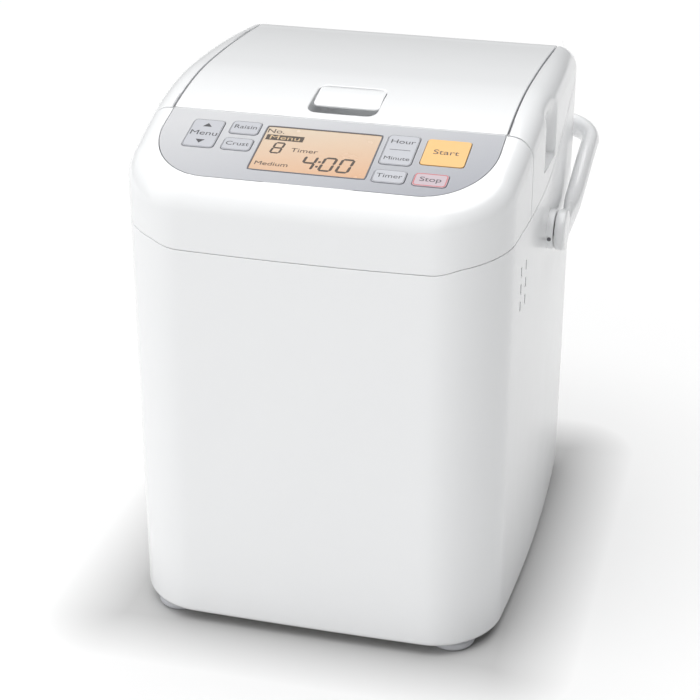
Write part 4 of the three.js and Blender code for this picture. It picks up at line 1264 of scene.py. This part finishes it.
def rubber_foot(node):
    """A round foot with a soft lower edge and the sunk hole of its screw."""
    low, high = node_box(node)
    centre = ((low.x + high.x) / 2, (low.y + high.y) / 2, 0)
    radius = (high.x - low.x) / 2
    edge = 3.4
    flat = radius - edge
    hole, bore, sink = 4.2, 2.0, 3.8
    profile = [(hole, sink), (hole, 0.4), (hole + 0.3, 0.0), (flat, 0.0)]
    profile += [(flat + edge * math.sin(a), edge - edge * math.cos(a)) for a in steps(0.2, math.pi / 2, 8)]
    profile += [(radius, high.z), (bore, high.z), (bore, sink), (hole, sink)]
    skin = Skin()
    turned(skin, profile, centre, "Z", 56)
    return skin.piece(node.replace("foot", "rubber_foot"), node)


# ---------------------------------------------------------------- baking chamber and pan
def vessel(name, node, levels, wall, soft=0):
    """A vessel open at the top, from the half width, half depth, corner radius and height of its levels."""
    skin = Skin()
    rows = [
        [(x, y, z) for x, y in rounded_loop(half_x, half_y, radius, 24, 0, CHAMBER_Y)]
        for half_x, half_y, radius, z in levels
    ]
    skin.sheet(rows, closed=True)
    return skin.piece(name, node, wall=wall, soft=soft, turn=True)


def chamber():
    """The pressed chamber wall with its flange on the deck and a rounded floor."""
    half_x, half_y, radius = 81.4, 71.4, 24.4
    floor_z, floor_edge = 65.2, 6
    levels = [(87, 77, 30, 257.2), (83.5, 73.5, 26.5, 257.2), (82.1, 72.1, 25.1, 256.4)]
    levels += [(half_x, half_y, radius, z) for z in [252] + steps(240, 76, 6)]
    for a in steps(0, math.pi / 2, 5):
        inset = floor_edge * math.sin(a)
        levels.append((half_x - inset, half_y - inset, radius - inset, floor_z + floor_edge * math.cos(a)))
    levels += [(50, 44, 14, floor_z), (20, 20, 19.9, floor_z), (15, 15, 14.9, floor_z)]
    return vessel("chamber_wall", "chamber_liner", levels, wall=1.0, soft=0.2)


def pan():
    """The bread pan: tapered walls, rounded floor and a rolled rim."""
    low, high = node_box("bread_pan")
    roll, taper, floor_edge = 2.0, 4, 6.5
    mouth_x, mouth_y, corner = high.x - 2 * roll, (high.y - low.y) / 2 - 2 * roll, 20
    floor_z = low.z + 1.5
    levels = []
    for a in steps(math.radians(-150), math.radians(90), 9):
        grow = roll + roll * math.cos(a)
        levels.append((mouth_x + grow, mouth_y + grow, corner + grow, high.z - roll + roll * math.sin(a)))
    levels.append((mouth_x, mouth_y, corner, high.z - 0.3))
    for share in steps(0, 1, 8)[1:]:
        inset = taper * share
        z = high.z - roll - (high.z - low.z - 10) * share
        levels.append((mouth_x - inset, mouth_y - inset, corner - inset, z))
    for a in steps(0.2, math.pi / 2, 5):
        inset = taper + floor_edge * math.sin(a)
        z = floor_z + floor_edge * (1 - math.sin(a))
        levels.append((mouth_x - inset, mouth_y - inset, corner - inset, z))
    levels += [(30, 24, 9, floor_z), (8.6, 8.6, 8.5, floor_z)]
    return vessel("pan_body", "bread_pan", levels, wall=0.9)


def bail():
    """The pan's wire handle, with an eye round each ear."""
    pivot_z = 198.5
    half_width, height, reach_from, tilt = 71, 48, 14, math.radians(20)

    def place(x, reach):
        return Vector((x, CHAMBER_Y + reach * math.cos(tilt), pivot_z + reach * math.sin(tilt)))

    path = [place(half_width, 4.5)]
    for a in steps(0, math.pi, 48):
        path.append(place(half_width * math.cos(a), reach_from + (height - reach_from) * math.sin(a) ** 0.7))
    path.append(place(-half_width, 4.5))
    skin = Skin()
    swept(skin, path, lambda i: (4.6, 4.6))
    for side in (-1, 1):
        profile = round_profile(5.4, -1.9, 1.9, 0.8, 2.8)
        turned(skin, profile, (side * half_width, CHAMBER_Y, pivot_z), "X", 32)
    return skin.piece("bail_wire", "pan_bail")


def blade():
    """The kneading blade: a tapered hub with one swept fin that thins to its tip."""
    skin = Skin()
    bottom, bore, hub_top = 97, 4.4, 116
    profile = [(bore, bottom), (8, bottom), (8, 99), (7.4, 113), (6.6, 115.6)]
    profile += [(5.2, hub_top), (bore, hub_top)]
    turned(skin, profile + profile[:1], (0, CHAMBER_Y, 0), "Z", 40)
    rows = []
    for share in steps(0, 1, 12):
        x = 6.2 + 33 * share
        y = CHAMBER_Y - 8.0 * share ** 1.6
        thick = 3.4 - 2.2 * share
        lean = 3.0 * share
        low, high = bottom + 0.2, 121 - 9 * share ** 2
        middle = (low + high) / 2
        rows.append([
            (x, y - thick, low),
            (x, y + thick, low),
            (x, y + thick * 0.6 - lean * 0.5, middle),
            (x, y + thick * 0.3 - lean, high),
            (x, y - thick * 0.3 - lean, high),
            (x, y - thick * 0.8 - lean * 0.5, middle),
        ])
    made = skin.sheet(rows, closed=True)
    skin.cap(made[0])
    skin.cap(made[-1])
    return skin.piece("blade", "kneading_blade", soft=0.5)


def heater():
    """The sheathed heating loop with its two ends led out through the chamber's front."""
    z, half_x, half_y, corner = 92, 74, 64, 20
    front = CHAMBER_Y - half_y
    loop = [Vector((x, y, z)) for x, y in rounded_loop(half_x, half_y, corner, 20, 0, CHAMBER_Y)]
    run = [p for p in loop if not (abs(p.x) < 16 and p.y < CHAMBER_Y)]
    first = next(i for i, p in enumerate(run) if p.x > 0 and p.y < front + 1)
    run = run[first:] + run[:first]
    bend = ((8, -14), (8, -6), (9.5, -1.6), (14, 0))
    start = [Vector((x, front + ahead, z)) for x, ahead in bend]
    end = [Vector((-p.x, p.y, z)) for p in reversed(start)]
    skin = Skin()
    swept(skin, start + run + end, lambda i: (6.2, 6.2))
    return skin.piece("heater_loop", "heater_element")


# ---------------------------------------------------------------- the pieces kept from the frame
def dress_frame():
    """Gives every node of the frame the finish of its material slot."""
    for node, piece in frame["nodes"].items():
        piece.data.materials.clear()
        piece.data.materials.append(FINISHES[SLOTS[node]].material)


# ---------------------------------------------------------------- studio
GLOW_REACH = 45             # how far from the machine the floor's glow is full; nearer in it fades, a painted shadow round the machine
GLOW_STRENGTH = 0.36


def floor():
    """A wide pale floor that glows a little, except in a narrow band round the machine, where the missing
    glow paints a shadow.
    """
    size = 6.0
    corners = [(-size, -size, 0), (size, -size, 0), (size, size, 0), (-size, size, 0)]
    mesh = bpy.data.meshes.new("floor")
    mesh.from_pydata(corners, [], [(0, 1, 2, 3)])
    finish = Finish("studio_floor", Base_Color=(0.52, 0.52, 0.52, 1), Specular_IOR_Level=0.1)
    finish.roughness(0.7 + finish.noise(300, 1) * 0.05)
    past_side = finish.axis("X").size() - HALF_WIDTH
    past_front = (finish.axis("Y") - BODY_Y).size() - HALF_DEPTH
    away = past_side.at_least(0) ** 2 + past_front.at_least(0) ** 2
    # painted shadow: the floor's glow fades out near the machine, so a darker band rings it
    painted_glow = (away ** 0.5 * (1 / GLOW_REACH)).at_most(1)
    finish.feed(finish.shader.inputs["Emission Color"], finish.mix(painted_glow, (0.0, 0.0, 0.0, 1), (1, 1, 1, 1)))
    finish.shader.inputs["Emission Strength"].default_value = GLOW_STRENGTH
    mesh.materials.append(finish.material)
    ground = bpy.data.objects.new("floor", mesh)
    bpy.context.collection.objects.link(ground)


def sky_light(name, direction, spread, strength, color=(1, 1, 1)):
    """A soft light from far away in this direction, as wide as the spread in degrees."""
    light = bpy.data.lights.new(name, "SUN")
    light.energy = strength
    light.angle = math.radians(spread)
    light.color = color
    lamp = bpy.data.objects.new(name, light)
    lamp.rotation_euler = Vector(direction).to_track_quat("Z", "Y").to_euler()
    bpy.context.collection.objects.link(lamp)


def studio():
    scene = bpy.context.scene
    scene.view_settings.view_transform = "Standard"
    world = bpy.data.worlds.new("studio")
    world.use_nodes = True
    world.node_tree.nodes["Background"].inputs["Color"].default_value = (0.97, 0.985, 1.0, 1)
    world.node_tree.nodes["Background"].inputs["Strength"].default_value = 0.06
    scene.world = world
    sky_light("top_light", (-0.05, 0.1, 1), 75, 3.1)
    sky_light("key_light", (-0.65, -0.9, 0.6), 80, 1.55, (1.0, 0.997, 0.99))
    camera_data = bpy.data.cameras.new("camera")
    camera_data.lens = 95.58
    camera_data.sensor_width = 36
    camera = bpy.data.objects.new("camera", camera_data)
    camera.location = (0.25374, -0.99468, 0.60429)
    camera.rotation_euler = (math.radians(90 - 25.47), 0, math.radians(14.98))
    bpy.context.collection.objects.link(camera)
    scene.camera = camera
    floor()


# ---------------------------------------------------------------- assembly
studio()
dress_frame()
lower_shell()
front_casing()
rear_casing()
deck()
lid_gap_shade()
lid_shell()
lid_flap()
inner_lid()
panel_film()
key_gap_shade()
for key_name, key_place in KEYS.items():
    key_cap(key_name, key_place)
for key_name in ("menu", "raisin", "crust", "hour_minute", "timer"):
    key_frame(key_name, KEYS[key_name], SHADOW_GREY, 0.22)
key_frame("stop", KEYS["stop"], RED_INK, 0.55)
display()
key_labels()
handle()
for hand in (-1, 1):
    boss(hand)
for corner in ("front_left", "front_right", "rear_left", "rear_right"):
    rubber_foot("foot_" + corner)
chamber()
pan()
bail()
blade()
heater()
